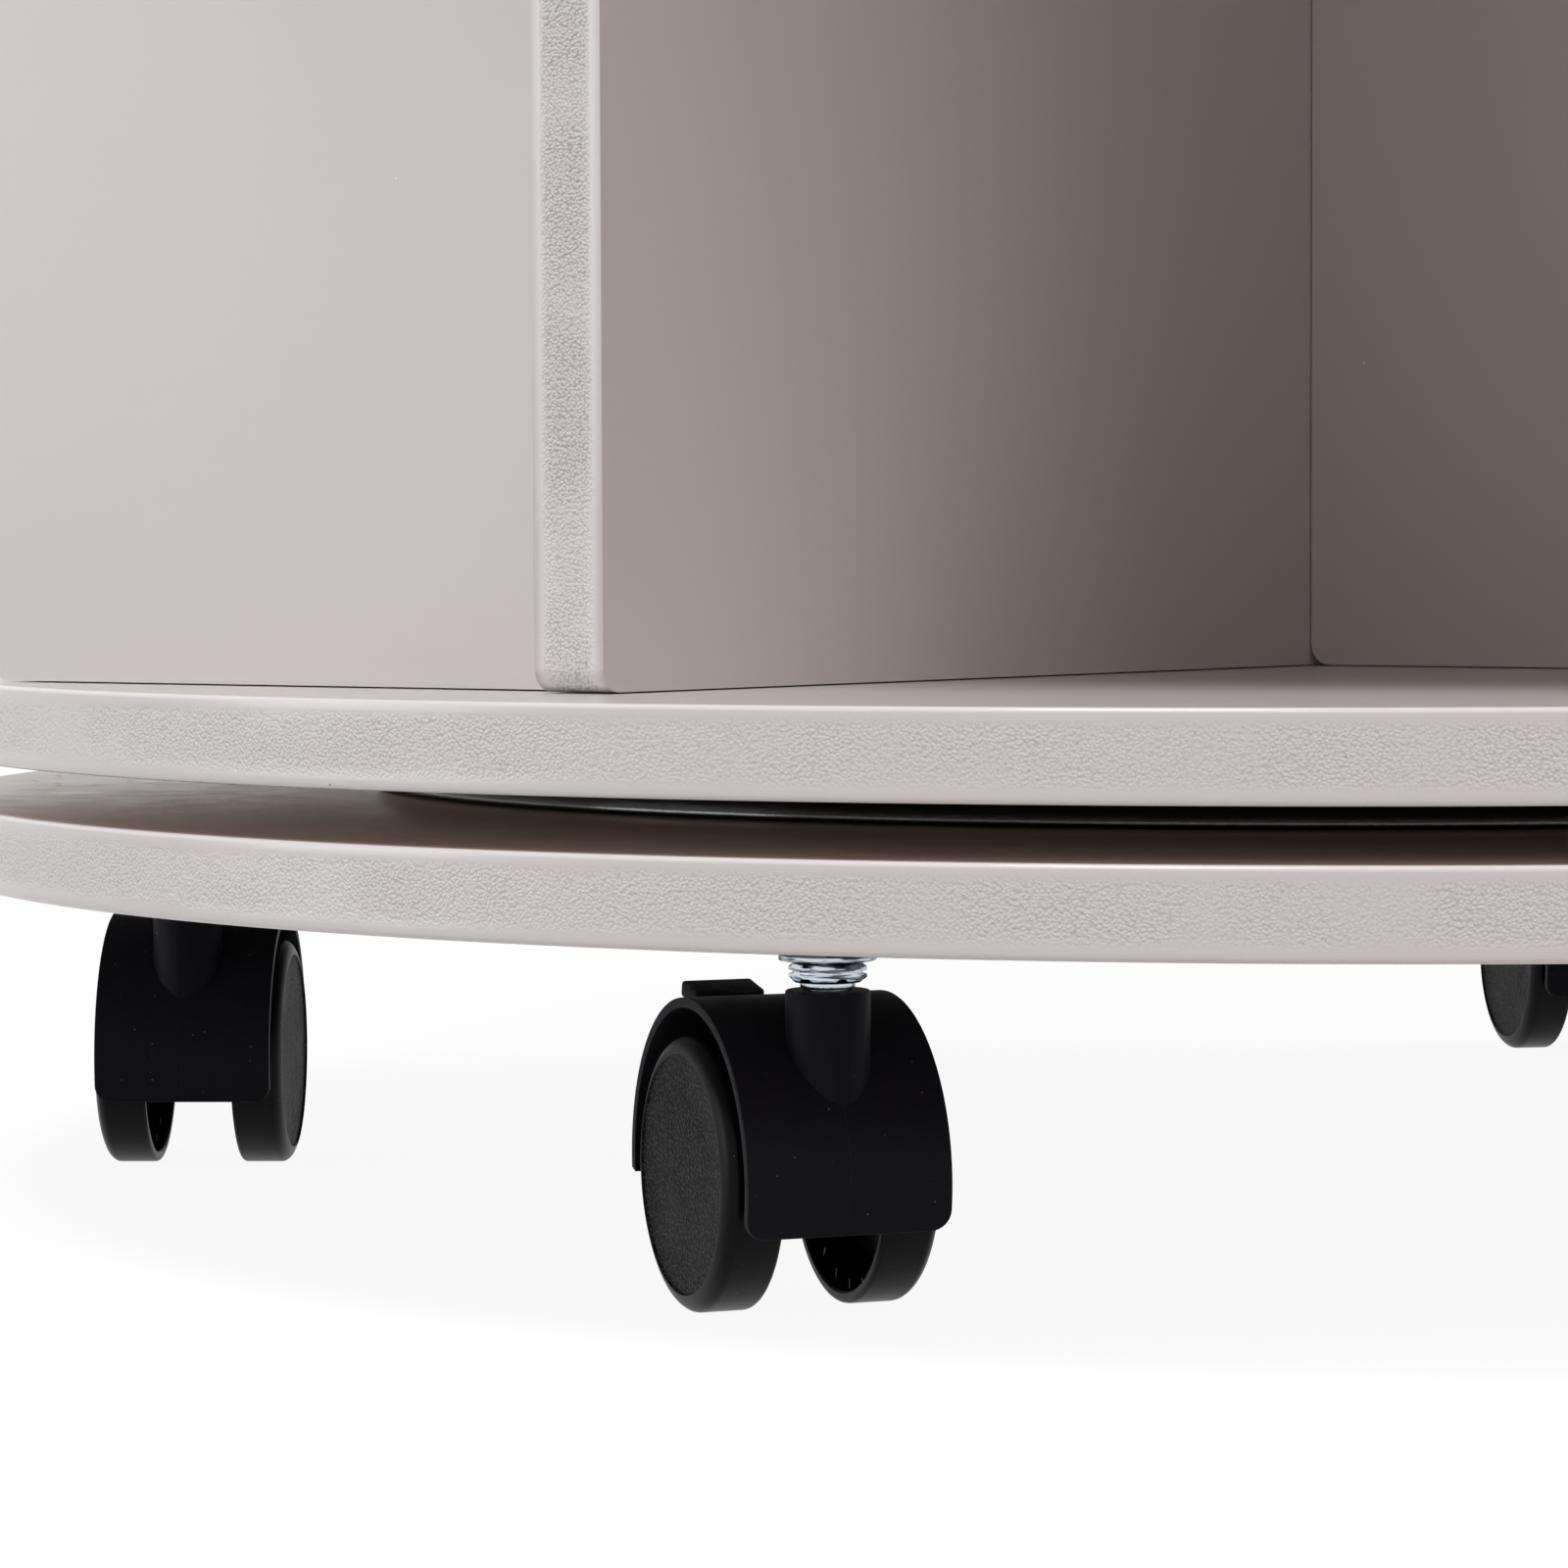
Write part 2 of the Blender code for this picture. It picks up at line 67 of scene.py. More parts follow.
def turnedMesh(name, profile, steps, ring=False, shape=None, sharp=None):
    # turns (radius, height) points about Z; shape(turn, radius, height) may change the radius
    bm = bmesh.new()
    rows = []
    for radius, height in profile:
        if radius < 1e-7:
            rows.append([bm.verts.new((0, 0, height))])
            continue
        row = []
        for i in range(steps):
            turn = math.tau * i / steps
            r = shape(turn, radius, height) if shape else radius
            row.append(bm.verts.new((r * math.cos(turn), r * math.sin(turn), height)))
        rows.append(row)
    pairs = list(zip(rows, rows[1:]))
    if ring:
        pairs.append((rows[-1], rows[0]))
    for a, b in pairs:
        for i in range(steps):
            k = (i + 1) % steps
            if len(a) == 1 and len(b) > 1:
                bm.faces.new((a[0], b[i], b[k]))
            elif len(b) == 1 and len(a) > 1:
                bm.faces.new((a[k], a[i], b[0]))
            elif len(a) > 1:
                bm.faces.new((a[i], b[i], b[k], a[k]))
    mesh = closeMesh(name, bm)
    if sharp:
        softShade(mesh, sharp)
    return mesh


def extrudeOutline(bm, outline, low, high):
    # closed (x, z) outline, from y = low to y = high
    near = [bm.verts.new((x, low, z)) for x, z in outline]
    far = [bm.verts.new((x, high, z)) for x, z in outline]
    bm.faces.new(near)
    bm.faces.new(far[::-1])
    for i in range(len(outline)):
        k = (i + 1) % len(outline)
        bm.faces.new((near[k], near[i], far[i], far[k]))


def bevelSharp(bm, width, segments, sharperThan=50):
    limit = math.radians(sharperThan)
    edges = [e for e in bm.edges if len(e.link_faces) == 2 and e.calc_face_angle(0) > limit]
    bmesh.ops.bevel(bm, geom=edges, offset=width, segments=segments, profile=0.5,
                    affect="EDGES", clamp_overlap=True)


def closeMesh(name, bm, merge=1e-7):
    if merge:
        bmesh.ops.remove_doubles(bm, verts=bm.verts, dist=merge)
    bmesh.ops.recalc_face_normals(bm, faces=bm.faces)
    mesh = bpy.data.meshes.new(name)
    bm.to_mesh(mesh)
    bm.free()
    return mesh


def softShade(mesh, sharperThan=35):
    mesh.shade_smooth()
    mesh.set_sharp_from_angle(angle=math.radians(sharperThan))


def writeMarks(mesh, **marks):
    for name, values in marks.items():
        mark = mesh.attributes.new(name, "FLOAT", "POINT")
        mark.data.foreach_set("value", values)


# marks the points on sharp folds, where a painted highlight line is drawn
def markEdgeHighlights(mesh, sharperThan=20):
    limit = math.radians(sharperThan)
    bm = bmesh.new()
    bm.from_mesh(mesh)
    values = []
    for vert in bm.verts:
        folds = [e.calc_face_angle_signed(0) for e in vert.link_edges if len(e.link_faces) == 2]
        values.append(1.0 if folds and max(folds) > limit else 0.0)
    bm.free()
    writeMarks(mesh, edgeLine=values)


def looseObject(name, data):
    obj = bpy.data.objects.new(name, data)
    bpy.context.scene.collection.objects.link(obj)
    return obj


def bakedMesh(obj):
    bpy.context.view_layer.update()
    depsgraph = bpy.context.evaluated_depsgraph_get()
    mesh = bpy.data.meshes.new_from_object(obj.evaluated_get(depsgraph))
    bpy.data.objects.remove(obj)
    return mesh


def joinSolids(name, mesh, steps):
    # steps are (operation, other mesh), done one after another
    obj = looseObject(name, mesh)
    others = []
    for operation, other in steps:
        tool = looseObject(name + "Tool", other)
        others.append(tool)
        modifier = obj.modifiers.new("join", "BOOLEAN")
        modifier.operation = operation
        modifier.object = tool
        modifier.solver = "EXACT"
    made = bakedMesh(obj)
    for tool in others:
        bpy.data.objects.remove(tool)
    return made


def addPiece(name, mesh, finishes, body, nodes=()):
    places = [face.material_index for face in mesh.polygons]
    mesh.materials.clear()
    for finish in finishes:
        mesh.materials.append(finish)
    mesh.polygons.foreach_set("material_index", places if len(finishes) > 1 else [0] * len(places))
    piece = looseObject(name, mesh)
    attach(piece, body)
    if nodes:
        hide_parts(*nodes)
    return piece


def cylinderMesh(name, radius, low, high, steps):
    return turnedMesh(name, [(0, low), (radius, low), (radius, high), (0, high)], steps)


# small tools for node trees

def fillInputs(tree, node, values):
    for key, value in values.items():
        if isinstance(value, bpy.types.NodeSocket):
            tree.links.new(value, node.inputs[key])
        else:
            node.inputs[key].default_value = value


def addNode(tree, kind, inputs=None, **settings):
    node = tree.nodes.new(kind)
    for key, value in settings.items():
        setattr(node, key, value)
    fillInputs(tree, node, inputs or {})
    return node


def math2(tree, operation, a, b=0.0, clamp=False):
    node = addNode(tree, "ShaderNodeMath", operation=operation, use_clamp=clamp, inputs={0: a, 1: b})
    return node.outputs[0]


def times(tree, a, b):
    return math2(tree, "MULTIPLY", a, b)


def mapRange(tree, value, fromLow, fromHigh, toLow=0.0, toHigh=1.0):
    node = addNode(tree, "ShaderNodeMapRange", interpolation_type="SMOOTHSTEP", inputs={
        "Value": value, "From Min": fromLow, "From Max": fromHigh, "To Min": toLow, "To Max": toHigh})
    return node.outputs["Result"]


def mixColour(tree, factor, a, b):
    return addNode(tree, "ShaderNodeMix", data_type="RGBA", inputs={0: factor, 6: a, 7: b}).outputs[2]


def noiseOf(tree, vector, scale, detail):
    node = addNode(tree, "ShaderNodeTexNoise", inputs={"Vector": vector, "Scale": scale, "Detail": detail})
    return node.outputs[0]


def pointMark(tree, name):
    return addNode(tree, "ShaderNodeAttribute", attribute_name=name).outputs["Fac"]


def newGroup(name, kind, inputs, outputs):
    # inputs are (label, type, value) and outputs (label, type)
    tree = bpy.data.node_groups.new(name, kind)
    for label, socketType, value in inputs:
        socket = tree.interface.new_socket(label, in_out="INPUT", socket_type="NodeSocket" + socketType)
        if value is not None:
            socket.default_value = value
    for label, socketType in outputs:
        tree.interface.new_socket(label, in_out="OUTPUT", socket_type="NodeSocket" + socketType)
    return tree, tree.nodes.new("NodeGroupInput").outputs, tree.nodes.new("NodeGroupOutput").inputs


# shader groups that several finishes share

def makeSpeckGroup():
    # scattered specks: a mask that is 1 inside rare small dots
    tree, given, result = newGroup("strayDust", "ShaderNodeTree", [
        ("Vector", "Vector", None), ("Cells", "Float", 300.0), ("Size", "Float", 0.12),
        ("Share", "Float", 0.04),
    ], [("Mask", "Float")])
    cells = addNode(tree, "ShaderNodeTexVoronoi", feature="F1",
                    inputs={"Vector": given["Vector"], "Scale": given["Cells"]})
    split = addNode(tree, "ShaderNodeSeparateColor", inputs={0: cells.outputs["Color"]})
    chosen = math2(tree, "LESS_THAN", split.outputs[0], given["Share"])
    sized = times(tree, split.outputs[1], given["Size"])
    inside = math2(tree, "LESS_THAN", cells.outputs["Distance"], sized)
    tree.links.new(times(tree, chosen, inside), result["Mask"])
    return tree


def makeGrainGroup():
    # fine moulded or foamed grain: a height, and masks of its pits and tops
    tree, given, result = newGroup("fineGrain", "ShaderNodeTree", [
        ("Vector", "Vector", None), ("Scale", "Float", 900.0), ("Rough", "Float", 0.6),
    ], [("Height", "Float"), ("Pits", "Float"), ("Tops", "Float")])
    lumps = addNode(tree, "ShaderNodeTexNoise", inputs={
        "Vector": given["Vector"], "Scale": given["Scale"],
        "Detail": 2.0, "Roughness": given["Rough"]})
    cells = addNode(tree, "ShaderNodeTexVoronoi", feature="F1", inputs={
        "Vector": given["Vector"], "Scale": given["Scale"]})
    height = math2(tree, "MULTIPLY_ADD", cells.outputs["Distance"], -0.9)
    tree.links.new(times(tree, lumps.outputs[0], 0.45), height.node.inputs[2])
    tree.links.new(height, result["Height"])
    tree.links.new(mapRange(tree, height, -0.30, -0.46), result["Pits"])
    tree.links.new(mapRange(tree, height, -0.20, 0.0), result["Tops"])
    return tree


def makeMottleGroup():
    # slow tone changes over a surface, around 1
    tree, given, result = newGroup("slowMottle", "ShaderNodeTree", [
        ("Vector", "Vector", None), ("Scale", "Float", 12.0), ("Amount", "Float", 0.03),
    ], [("Tone", "Float")])
    noise = noiseOf(tree, given["Vector"], given["Scale"], 3.0)
    centred = math2(tree, "SUBTRACT", noise, 0.5)
    scaled = times(tree, centred, given["Amount"])
    tree.links.new(math2(tree, "ADD", scaled, 1.0), result["Tone"])
    return tree


speckGroup = makeSpeckGroup()
grainGroup = makeGrainGroup()
mottleGroup = makeMottleGroup()


def placeGroup(tree, group, **inputs):
    node = addNode(tree, "ShaderNodeGroup", node_tree=group)
    fillInputs(tree, node, inputs)
    return node.outputs


def newFinish(name, shaderValues):
    finish = bpy.data.materials.new(name)
    finish.use_nodes = True
    tree = finish.node_tree
    shader = tree.nodes["Principled BSDF"]
    fillInputs(tree, shader, shaderValues)
    coords = tree.nodes.new("ShaderNodeTexCoord").outputs["Object"]
    return finish, tree, shader, coords


def scaleColour(tree, colour, tone):
    start = colour if isinstance(colour, bpy.types.NodeSocket) else colour[:3]
    scaled = addNode(tree, "ShaderNodeVectorMath", operation="SCALE", inputs={0: start, "Scale": tone})
    return scaled.outputs[0]


def finishShader(tree, shader, colour, rough, height, depth):
    bump = addNode(tree, "ShaderNodeBump", inputs={"Height": height, "Distance": depth})
    fillInputs(tree, shader, {"Base Color": colour, "Roughness": rough, "Normal": bump.outputs["Normal"]})


# finishes

whiteBoardLook = {
    "colour": (0.640, 0.608, 0.594, 1), "edgeColour": (0.860, 0.850, 0.844, 1),
    "arrisHighlightColour": (0.930, 0.920, 0.913, 1), "pitShadeColour": (0.30, 0.27, 0.25, 1),
    "topHighlightColour": (0.97, 0.965, 0.96, 1), "darkSpeck": (0.16, 0.13, 0.12, 1),
    "paleSpeck": (0.95, 0.95, 0.94, 1), "pitShadeShare": 0.36, "topHighlightShare": 0.8, "speckShare": 0.7,
    "edgeScale": 1650, "edgeDepth": 0.00046, "faceScale": 2600, "faceShare": 0.012,
    "faceRough": 0.24, "edgeRough": 0.46, "arrisSmooth": 0.06, "specular": 0.5,
}


def makeWhiteBoard(look):
    # cutEdge, pebble and arris are written on the boards' points
    finish, tree, shader, coords = newFinish("whiteFoamBoard", {"Specular IOR Level": look["specular"]})
    edge, foamed, arris = [pointMark(tree, name) for name in ("cutEdge", "pebble", "arris")]
    pebble = placeGroup(tree, grainGroup, Vector=coords, Scale=look["edgeScale"], Rough=0.55)
    patchy = mapRange(tree, noiseOf(tree, coords, 45.0, 2.0), 0.30, 0.58, 0.50, 1.0)
    cut = times(tree, foamed, patchy)
    tone = placeGroup(tree, mottleGroup, Vector=coords, Scale=7.0, Amount=0.05)["Tone"]
    colour = mixColour(tree, edge, look["colour"], look["edgeColour"])
    # painted highlight: the rounded arrises are coloured paler than the board
    colour = mixColour(tree, arris, colour, look["arrisHighlightColour"])
    colour = scaleColour(tree, colour, tone)
    # painted shade in the pebble pits and painted highlight on the pebble tops
    pitShade = times(tree, times(tree, pebble["Pits"], cut), look["pitShadeShare"])
    colour = mixColour(tree, pitShade, colour, look["pitShadeColour"])
    topHighlight = times(tree, times(tree, pebble["Tops"], cut), look["topHighlightShare"])
    colour = mixColour(tree, topHighlight, colour, look["topHighlightColour"])
    dark = placeGroup(tree, speckGroup, Vector=coords, Cells=95.0, Size=0.045, Share=0.05)["Mask"]
    colour = mixColour(tree, times(tree, dark, look["speckShare"]), colour, look["darkSpeck"])
    pale = placeGroup(tree, speckGroup, Vector=coords, Cells=140.0, Size=0.05, Share=0.03)["Mask"]
    colour = mixColour(tree, pale, colour, look["paleSpeck"])
    lint = placeGroup(tree, speckGroup, Vector=coords, Cells=150.0, Size=0.10, Share=0.12)["Mask"]
    normal = tree.nodes.new("ShaderNodeNewGeometry").outputs["Normal"]
    facing = addNode(tree, "ShaderNodeSeparateXYZ", inputs={0: normal}).outputs["Z"]
    upward = math2(tree, "GREATER_THAN", facing, 0.9)    # lint lies only on faces that look up
    colour = mixColour(tree, times(tree, lint, upward), colour, look["paleSpeck"])
    rough = mapRange(tree, cut, 0.0, 1.0, look["faceRough"], look["edgeRough"])
    rough = math2(tree, "SUBTRACT", rough, times(tree, arris, look["arrisSmooth"]))
    edgeHeight = times(tree, pebble["Height"], cut)
    faceHeight = times(tree, noiseOf(tree, coords, look["faceScale"], 1.0), look["faceShare"])
    height = math2(tree, "ADD", edgeHeight, faceHeight)
    finishShader(tree, shader, colour, rough, height, look["edgeDepth"])
    return finish


# painted shade: a darker brown copy of the white board, with warm tints, for the faces inside the bearing gap
gapShadeLook = {"colour": (0.42, 0.36, 0.33, 1), "shadeTint": (1.0, 0.80, 0.72, 1), "rough": 0.19,
                "specular": 0.42, "grit": (0.10, 0.08, 0.07, 1), "gritShare": 0.7, "gritDull": 0.6,
                "dust": 0.30, "dustRough": 0.35, "dustAndShadeTint": (1.0, 0.70, 0.55, 1),
                "grainScale": 2600.0, "grainDepth": 0.000006}


def makeGapShadeBoard(look):
    # the faces that look at each other across the bearing: the white board coloured darker and brown as
    # painted shade for the shadowed gap, with the specular and dust sheen tinted brown as painted shade too;
    # the grit specks are real dirt
    finish, tree, shader, coords = newFinish("paintedShadeGapFace", {
        "Specular IOR Level": look["specular"], "Specular Tint": look["shadeTint"], "Sheen Weight": look["dust"],
        "Sheen Roughness": look["dustRough"], "Sheen Tint": look["dustAndShadeTint"]})
    tone = placeGroup(tree, mottleGroup, Vector=coords, Scale=40.0, Amount=0.30)["Tone"]
    grit = placeGroup(tree, speckGroup, Vector=coords, Cells=260.0, Size=0.26, Share=0.40)["Mask"]
    colour = scaleColour(tree, look["colour"], tone)
    colour = mixColour(tree, times(tree, grit, look["gritShare"]), colour, look["grit"])
    wear = placeGroup(tree, mottleGroup, Vector=coords, Scale=90.0, Amount=0.70)["Tone"]
    dulled = times(tree, grit, look["gritDull"])
    rough = math2(tree, "ADD", times(tree, wear, look["rough"]), dulled, clamp=True)
    grain = noiseOf(tree, coords, look["grainScale"], 1.0)
    finishShader(tree, shader, colour, rough, grain, look["grainDepth"])
    return finish


blackPlasticLook = {
    "hood": {"colour": (0.0098, 0.0093, 0.0130, 1), "rough": 0.50, "specular": 0.06, "scale": 2600,
             "depth": 0.00004, "dust": 0.30},
    "wheel": {"colour": (0.0040, 0.0040, 0.0050, 1), "rough": 0.36, "specular": 0.09, "scale": 1800,
              "depth": 0.00002, "dust": 0.30},
    "disc": {"colour": (0.0034, 0.0034, 0.0034, 1), "rough": 0.60, "specular": 0.10, "scale": 1450,
             "depth": 0.00030, "dust": 0.01, "paintedGlint": 0.9, "paintedGlintColour": (0.068, 0.068, 0.068, 1)},
    "tooth": {"colour": (0.60, 0.60, 0.58, 1), "rough": 0.50, "specular": 0.20, "scale": 1800,
              "depth": 0.00002, "dust": 0.0},
    "ring": {"colour": (0.020, 0.0195, 0.019, 1), "rough": 0.10, "specular": 0.9, "scale": 1500,
             "depth": 0.00002, "dust": 0.03},
    "dustColour": (0.55, 0.55, 0.54, 1), "dustMix": 0.25, "edge": (0.065, 0.065, 0.070, 1),
}


def makeBlackPlastic(name, kind):
    # edgeLine is written on the points of narrow rounded edges
    shared, look = blackPlasticLook, blackPlasticLook[kind]
    finish, tree, shader, coords = newFinish(name, {"Specular IOR Level": look["specular"]})
    grain = placeGroup(tree, grainGroup, Vector=coords, Scale=look["scale"], Rough=0.6)
    tone = placeGroup(tree, mottleGroup, Vector=coords, Scale=60.0, Amount=0.35)["Tone"]
    colour = scaleColour(tree, look["colour"], tone)
    # painted glint: the tops of the disc's grain are coloured paler
    if "paintedGlint" in look:
        colour = mixColour(tree, times(tree, grain["Tops"], look["paintedGlint"]), colour, look["paintedGlintColour"])
    breaks = mapRange(tree, noiseOf(tree, coords, 420.0, 2.0), 0.38, 0.62, 0.15, 0.8)
    # painted highlight: a broken paler line along the sharp folds of the plastic
    colour = mixColour(tree, times(tree, pointMark(tree, "edgeLine"), breaks), colour, shared["edge"])
    dust = placeGroup(tree, speckGroup, Vector=coords, Cells=560.0, Size=0.11, Share=look["dust"])["Mask"]
    colour = mixColour(tree, times(tree, dust, shared["dustMix"]), colour, shared["dustColour"])
    wear = placeGroup(tree, mottleGroup, Vector=coords, Scale=140.0, Amount=0.30)["Tone"]
    finishShader(tree, shader, colour, times(tree, wear, look["rough"]), grain["Height"], look["depth"])
    return finish


metalLook = {"flatten": (0.12, 0.12, 1.0), "grainScale": 3200.0, "grainDepth": 0.000012}
zincLook = {"colour": (0.58, 0.65, 0.70, 1), "reflectionBandColour": (0.045, 0.060, 0.080, 1), "rough": 0.17,
            "streak": 1500.0, "wear": 1260.0}
steelLook = {"colour": (0.56, 0.56, 0.57, 1), "reflectionBandColour": (0.30, 0.29, 0.28, 1), "rough": 0.22,
             "streak": 400.0, "wear": 900.0}


# painted reflection: dark bands around the axis stand in for dark surroundings mirrored in the plated metal
def makePlatedMetal(name, look):
    finish, tree, shader, coords = newFinish(name, {"Metallic": 1.0})
    level = addNode(tree, "ShaderNodeVectorMath", operation="MULTIPLY",
                    inputs={0: coords, 1: metalLook["flatten"]})
    reflectionBands = noiseOf(tree, level.outputs[0], look["streak"], 2.0)
    colour = mixColour(tree, mapRange(tree, reflectionBands, 0.40, 0.62), look["colour"], look["reflectionBandColour"])
    wear = placeGroup(tree, mottleGroup, Vector=coords, Scale=look["wear"], Amount=0.6)["Tone"]
    rough = times(tree, wear, look["rough"])
    grain = placeGroup(tree, grainGroup, Vector=coords, Scale=metalLook["grainScale"], Rough=0.5)["Height"]
    finishShader(tree, shader, colour, rough, grain, metalLook["grainDepth"])
    return finish


whiteBoard = makeWhiteBoard(whiteBoardLook)
gapShadeBoard = makeGapShadeBoard(gapShadeLook)
hoodPlastic = makeBlackPlastic("blackHoodPlastic", "hood")
wheelPlastic = makeBlackPlastic("blackTreadPlastic", "wheel")
discPlastic = makeBlackPlastic("grainedWheelDisc", "disc")
toothPlastic = makeBlackPlastic("paleToothPlastic", "tooth")
ringBlack = makeBlackPlastic("satinBlackRing", "ring")
zincPlate = makePlatedMetal("blueZincPlate", zincLook)
ballSteel = makePlatedMetal("brightBallSteel", steelLook)
print("finishes made")


# boards

boardLook = {"round": 0.0010, "cornerRound": 0.0045, "discSteps": 288, "roundSteps": 5, "cornerSteps": 6,
             "rows": (0.0, 0.0022, 0.0042, 0.0060), "pebbleInner": 0.0036, "pebbleOuter": 0.0063,
             "panelPebble": 1.0, "rimPebble": 0.45}


def edgeShare(away):
    # 1 along the middle of a cut edge, 0 at its margins
    return 1.0 - smoothStep(boardLook["pebbleInner"], boardLook["pebbleOuter"], away)


def inArris(away, half):
    return half - boardLook["round"] + 1e-5 < away < half - 1e-5


def markPanel(mesh, middle, axis, half):
    aways = [abs((vert.co - middle).dot(axis)) for vert in mesh.vertices]
    writeMarks(mesh, cutEdge=[1.0 if away < half - boardLook["round"] * 0.5 else 0.0 for away in aways],
               pebble=[edgeShare(away) * boardLook["panelPebble"] for away in aways],
               arris=[1.0 if inArris(away, half) else 0.0 for away in aways])


def markDisc(mesh, radius, low, high, gapSide):
    # gapSide is the height of the face in the gap, if the disc has one
    middle, half = (low + high) / 2, (high - low) / 2
    edges, pebbles, arrises = [], [], []
    for vert in mesh.vertices:
        away = abs(vert.co.z - middle)
        out = math.hypot(vert.co.x, vert.co.y)
        onRim = out > radius - boardLook["round"] * 0.2
        edges.append(1.0 if onRim else 0.0)
        pebbles.append(edgeShare(away) * boardLook["rimPebble"] if onRim else 0.0)
        arrises.append(1.0 if inArris(away, half) and out > radius - boardLook["round"] + 1e-5 else 0.0)
    writeMarks(mesh, cutEdge=edges, pebble=pebbles, arris=arrises)
    # faces in the gap take the second finish, the board coloured darker and brown as painted shade
    for face in mesh.polygons:
        inGap = gapSide is not None and abs(face.center.z - gapSide) < 1e-5
        face.material_index = 1 if inGap else 0


def roundBoardMesh(name, low, high, radius):
    r = boardLook["round"]
    middle = (low + high) / 2
    profile = [(0, low), (radius * 0.5, low)]
    profile += arcPoints((radius - r, low + r), r, -90, 0, boardLook["roundSteps"])
    offsets = sorted([-o for o in boardLook["rows"] if o] + list(boardLook["rows"]))
    profile += [(radius, middle + o) for o in offsets]
    profile += arcPoints((radius - r, high - r), r, 0, 90, boardLook["roundSteps"])
    profile += [(radius * 0.5, high), (0, high)]
    return turnedMesh(name, profile, boardLook["discSteps"])


def makeRoundBoard(node, body, holes=(), gapSide=None):
    low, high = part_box(node)
    radius = (high.x - low.x) / 2
    mesh = roundBoardMesh(node + "Look", low.z, high.z, radius)
    if holes:
        mesh = joinSolids(node + "Cut", mesh, [("DIFFERENCE", hole) for hole in holes])
    softShade(mesh)
    markDisc(mesh, radius, low.z, high.z, gapSide)
    addPiece(node + "_look", mesh, [whiteBoard, gapShadeBoard], body, [node])


def panelMesh(name, low, high, along):
    # a board standing on edge; along is the axis of its length, 0 for x or 1 for y
    across = 1 - along
    length = high[along] - low[along]
    centre = (low + high) / 2
    half = (high[across] - low[across]) / 2
    c = boardLook["cornerRound"]
    w, h = length / 2, (high.z - low.z) / 2
    steps = boardLook["cornerSteps"]
    outline = []
    for i, (x, z) in enumerate(((1, 1), (-1, 1), (-1, -1), (1, -1))):
        outline += arcPoints((x * (w - c), z * (h - c)), c, 90 * i, 90 * i + 90, steps)
    bm = bmesh.new()
    extrudeOutline(bm, outline, -half, half)
    bevelSharp(bm, boardLook["round"], 4)
    for offset in boardLook["rows"]:
        for side in ((1, -1) if offset else (1,)):
            geometry = bm.verts[:] + bm.edges[:] + bm.faces[:]
            bmesh.ops.bisect_plane(bm, geom=geometry, dist=1e-7, plane_co=(0, side * offset, 0),
                                   plane_no=(0, 1, 0))
    mesh = closeMesh(name, bm)
    if along == 1:
        mesh.transform(Matrix.Rotation(math.pi / 2, 4, "Z"))
    mesh.transform(Matrix.Translation(centre))
    softShade(mesh)
    axis = Vector((0, 1, 0)) if along == 0 else Vector((1, 0, 0))
    markPanel(mesh, centre, axis, half)
    return mesh


def makeDividers():
    for tier in (1, 2, 3):
        for kind, along in (("through_divider", 1), ("half_divider_right", 0), ("half_divider_left", 0)):
            node = f"tier{tier}_{kind}"
            low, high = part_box(node)
            addPiece(node + "_look", panelMesh(node + "Look", low, high, along), [whiteBoard], "carcass",
                     [node])


# a fence stands at each divider's outer end, turned four ways in every tier

fenceLook = {"ways": 4, "tiers": 3}


def grownMesh(name, tree, inputs):
    # runs a tree on an empty holder and keeps the plain mesh
    holder = looseObject(name, bpy.data.meshes.new(name))
    modifier = holder.modifiers.new(name, "NODES")
    modifier.node_group = tree
    for item in tree.interface.items_tree:
        if item.item_type == "SOCKET" and item.in_out == "INPUT":
            modifier[item.identifier] = inputs[item.name]
    return bakedMesh(holder)


def geoNode(tree, kind, inputs=None, **settings):
    return addNode(tree, "GeometryNode" + kind, inputs, **settings).outputs[0]


def finishTree(tree, result, geometry, finish):
    real = geoNode(tree, "RealizeInstances", {0: geometry})
    tree.links.new(geoNode(tree, "SetMaterial", {"Geometry": real, "Material": finish}), result[0])


def makeFenceTree():
    tree, given, result = newGroup("fencesAround", "GeometryNodeTree", [
        ("Panel", "Object", None), ("Ways", "Int", 4), ("Tiers", "Int", 3), ("Tier Pitch", "Float", 0.3),
    ], [("Geometry", "Geometry")])
    panel = addNode(tree, "GeometryNodeObjectInfo", inputs={"Object": given["Panel"]})
    lift = addNode(tree, "ShaderNodeCombineXYZ", inputs={"Z": given["Tier Pitch"]})
    levels = geoNode(tree, "MeshLine", {"Count": given["Tiers"], "Offset": lift.outputs[0]})
    stack = geoNode(tree, "InstanceOnPoints", {"Points": levels, "Instance": panel.outputs["Geometry"]})
    hub = geoNode(tree, "Points", {"Count": given["Ways"]})
    part = math2(tree, "DIVIDE", math.tau, given["Ways"])
    angle = times(tree, geoNode(tree, "InputIndex"), part)
    turn = addNode(tree, "ShaderNodeCombineXYZ", inputs={"Z": angle})
    around = geoNode(tree, "InstanceOnPoints", {
        "Points": hub, "Instance": stack, "Rotation": turn.outputs[0]})
    finishTree(tree, result, around, whiteBoard)
    return tree


def makeFences():
    low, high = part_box("tier1_fence_front")
    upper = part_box("tier2_fence_front")[0]
    panel = looseObject("fencePattern", panelMesh("fencePattern", low, high, 0))
    mesh = grownMesh("fenceHolder", makeFenceTree(), {
        "Panel": panel, "Ways": fenceLook["ways"], "Tiers": fenceLook["tiers"],
        "Tier Pitch": upper.z - low.z})
    bpy.data.objects.remove(panel)
    nodes = [f"tier{t}_fence_{side}" for t in (1, 2, 3) for side in ("front", "right", "back", "left")]
    addPiece("fence_panels", mesh, [whiteBoard], "carcass", nodes)


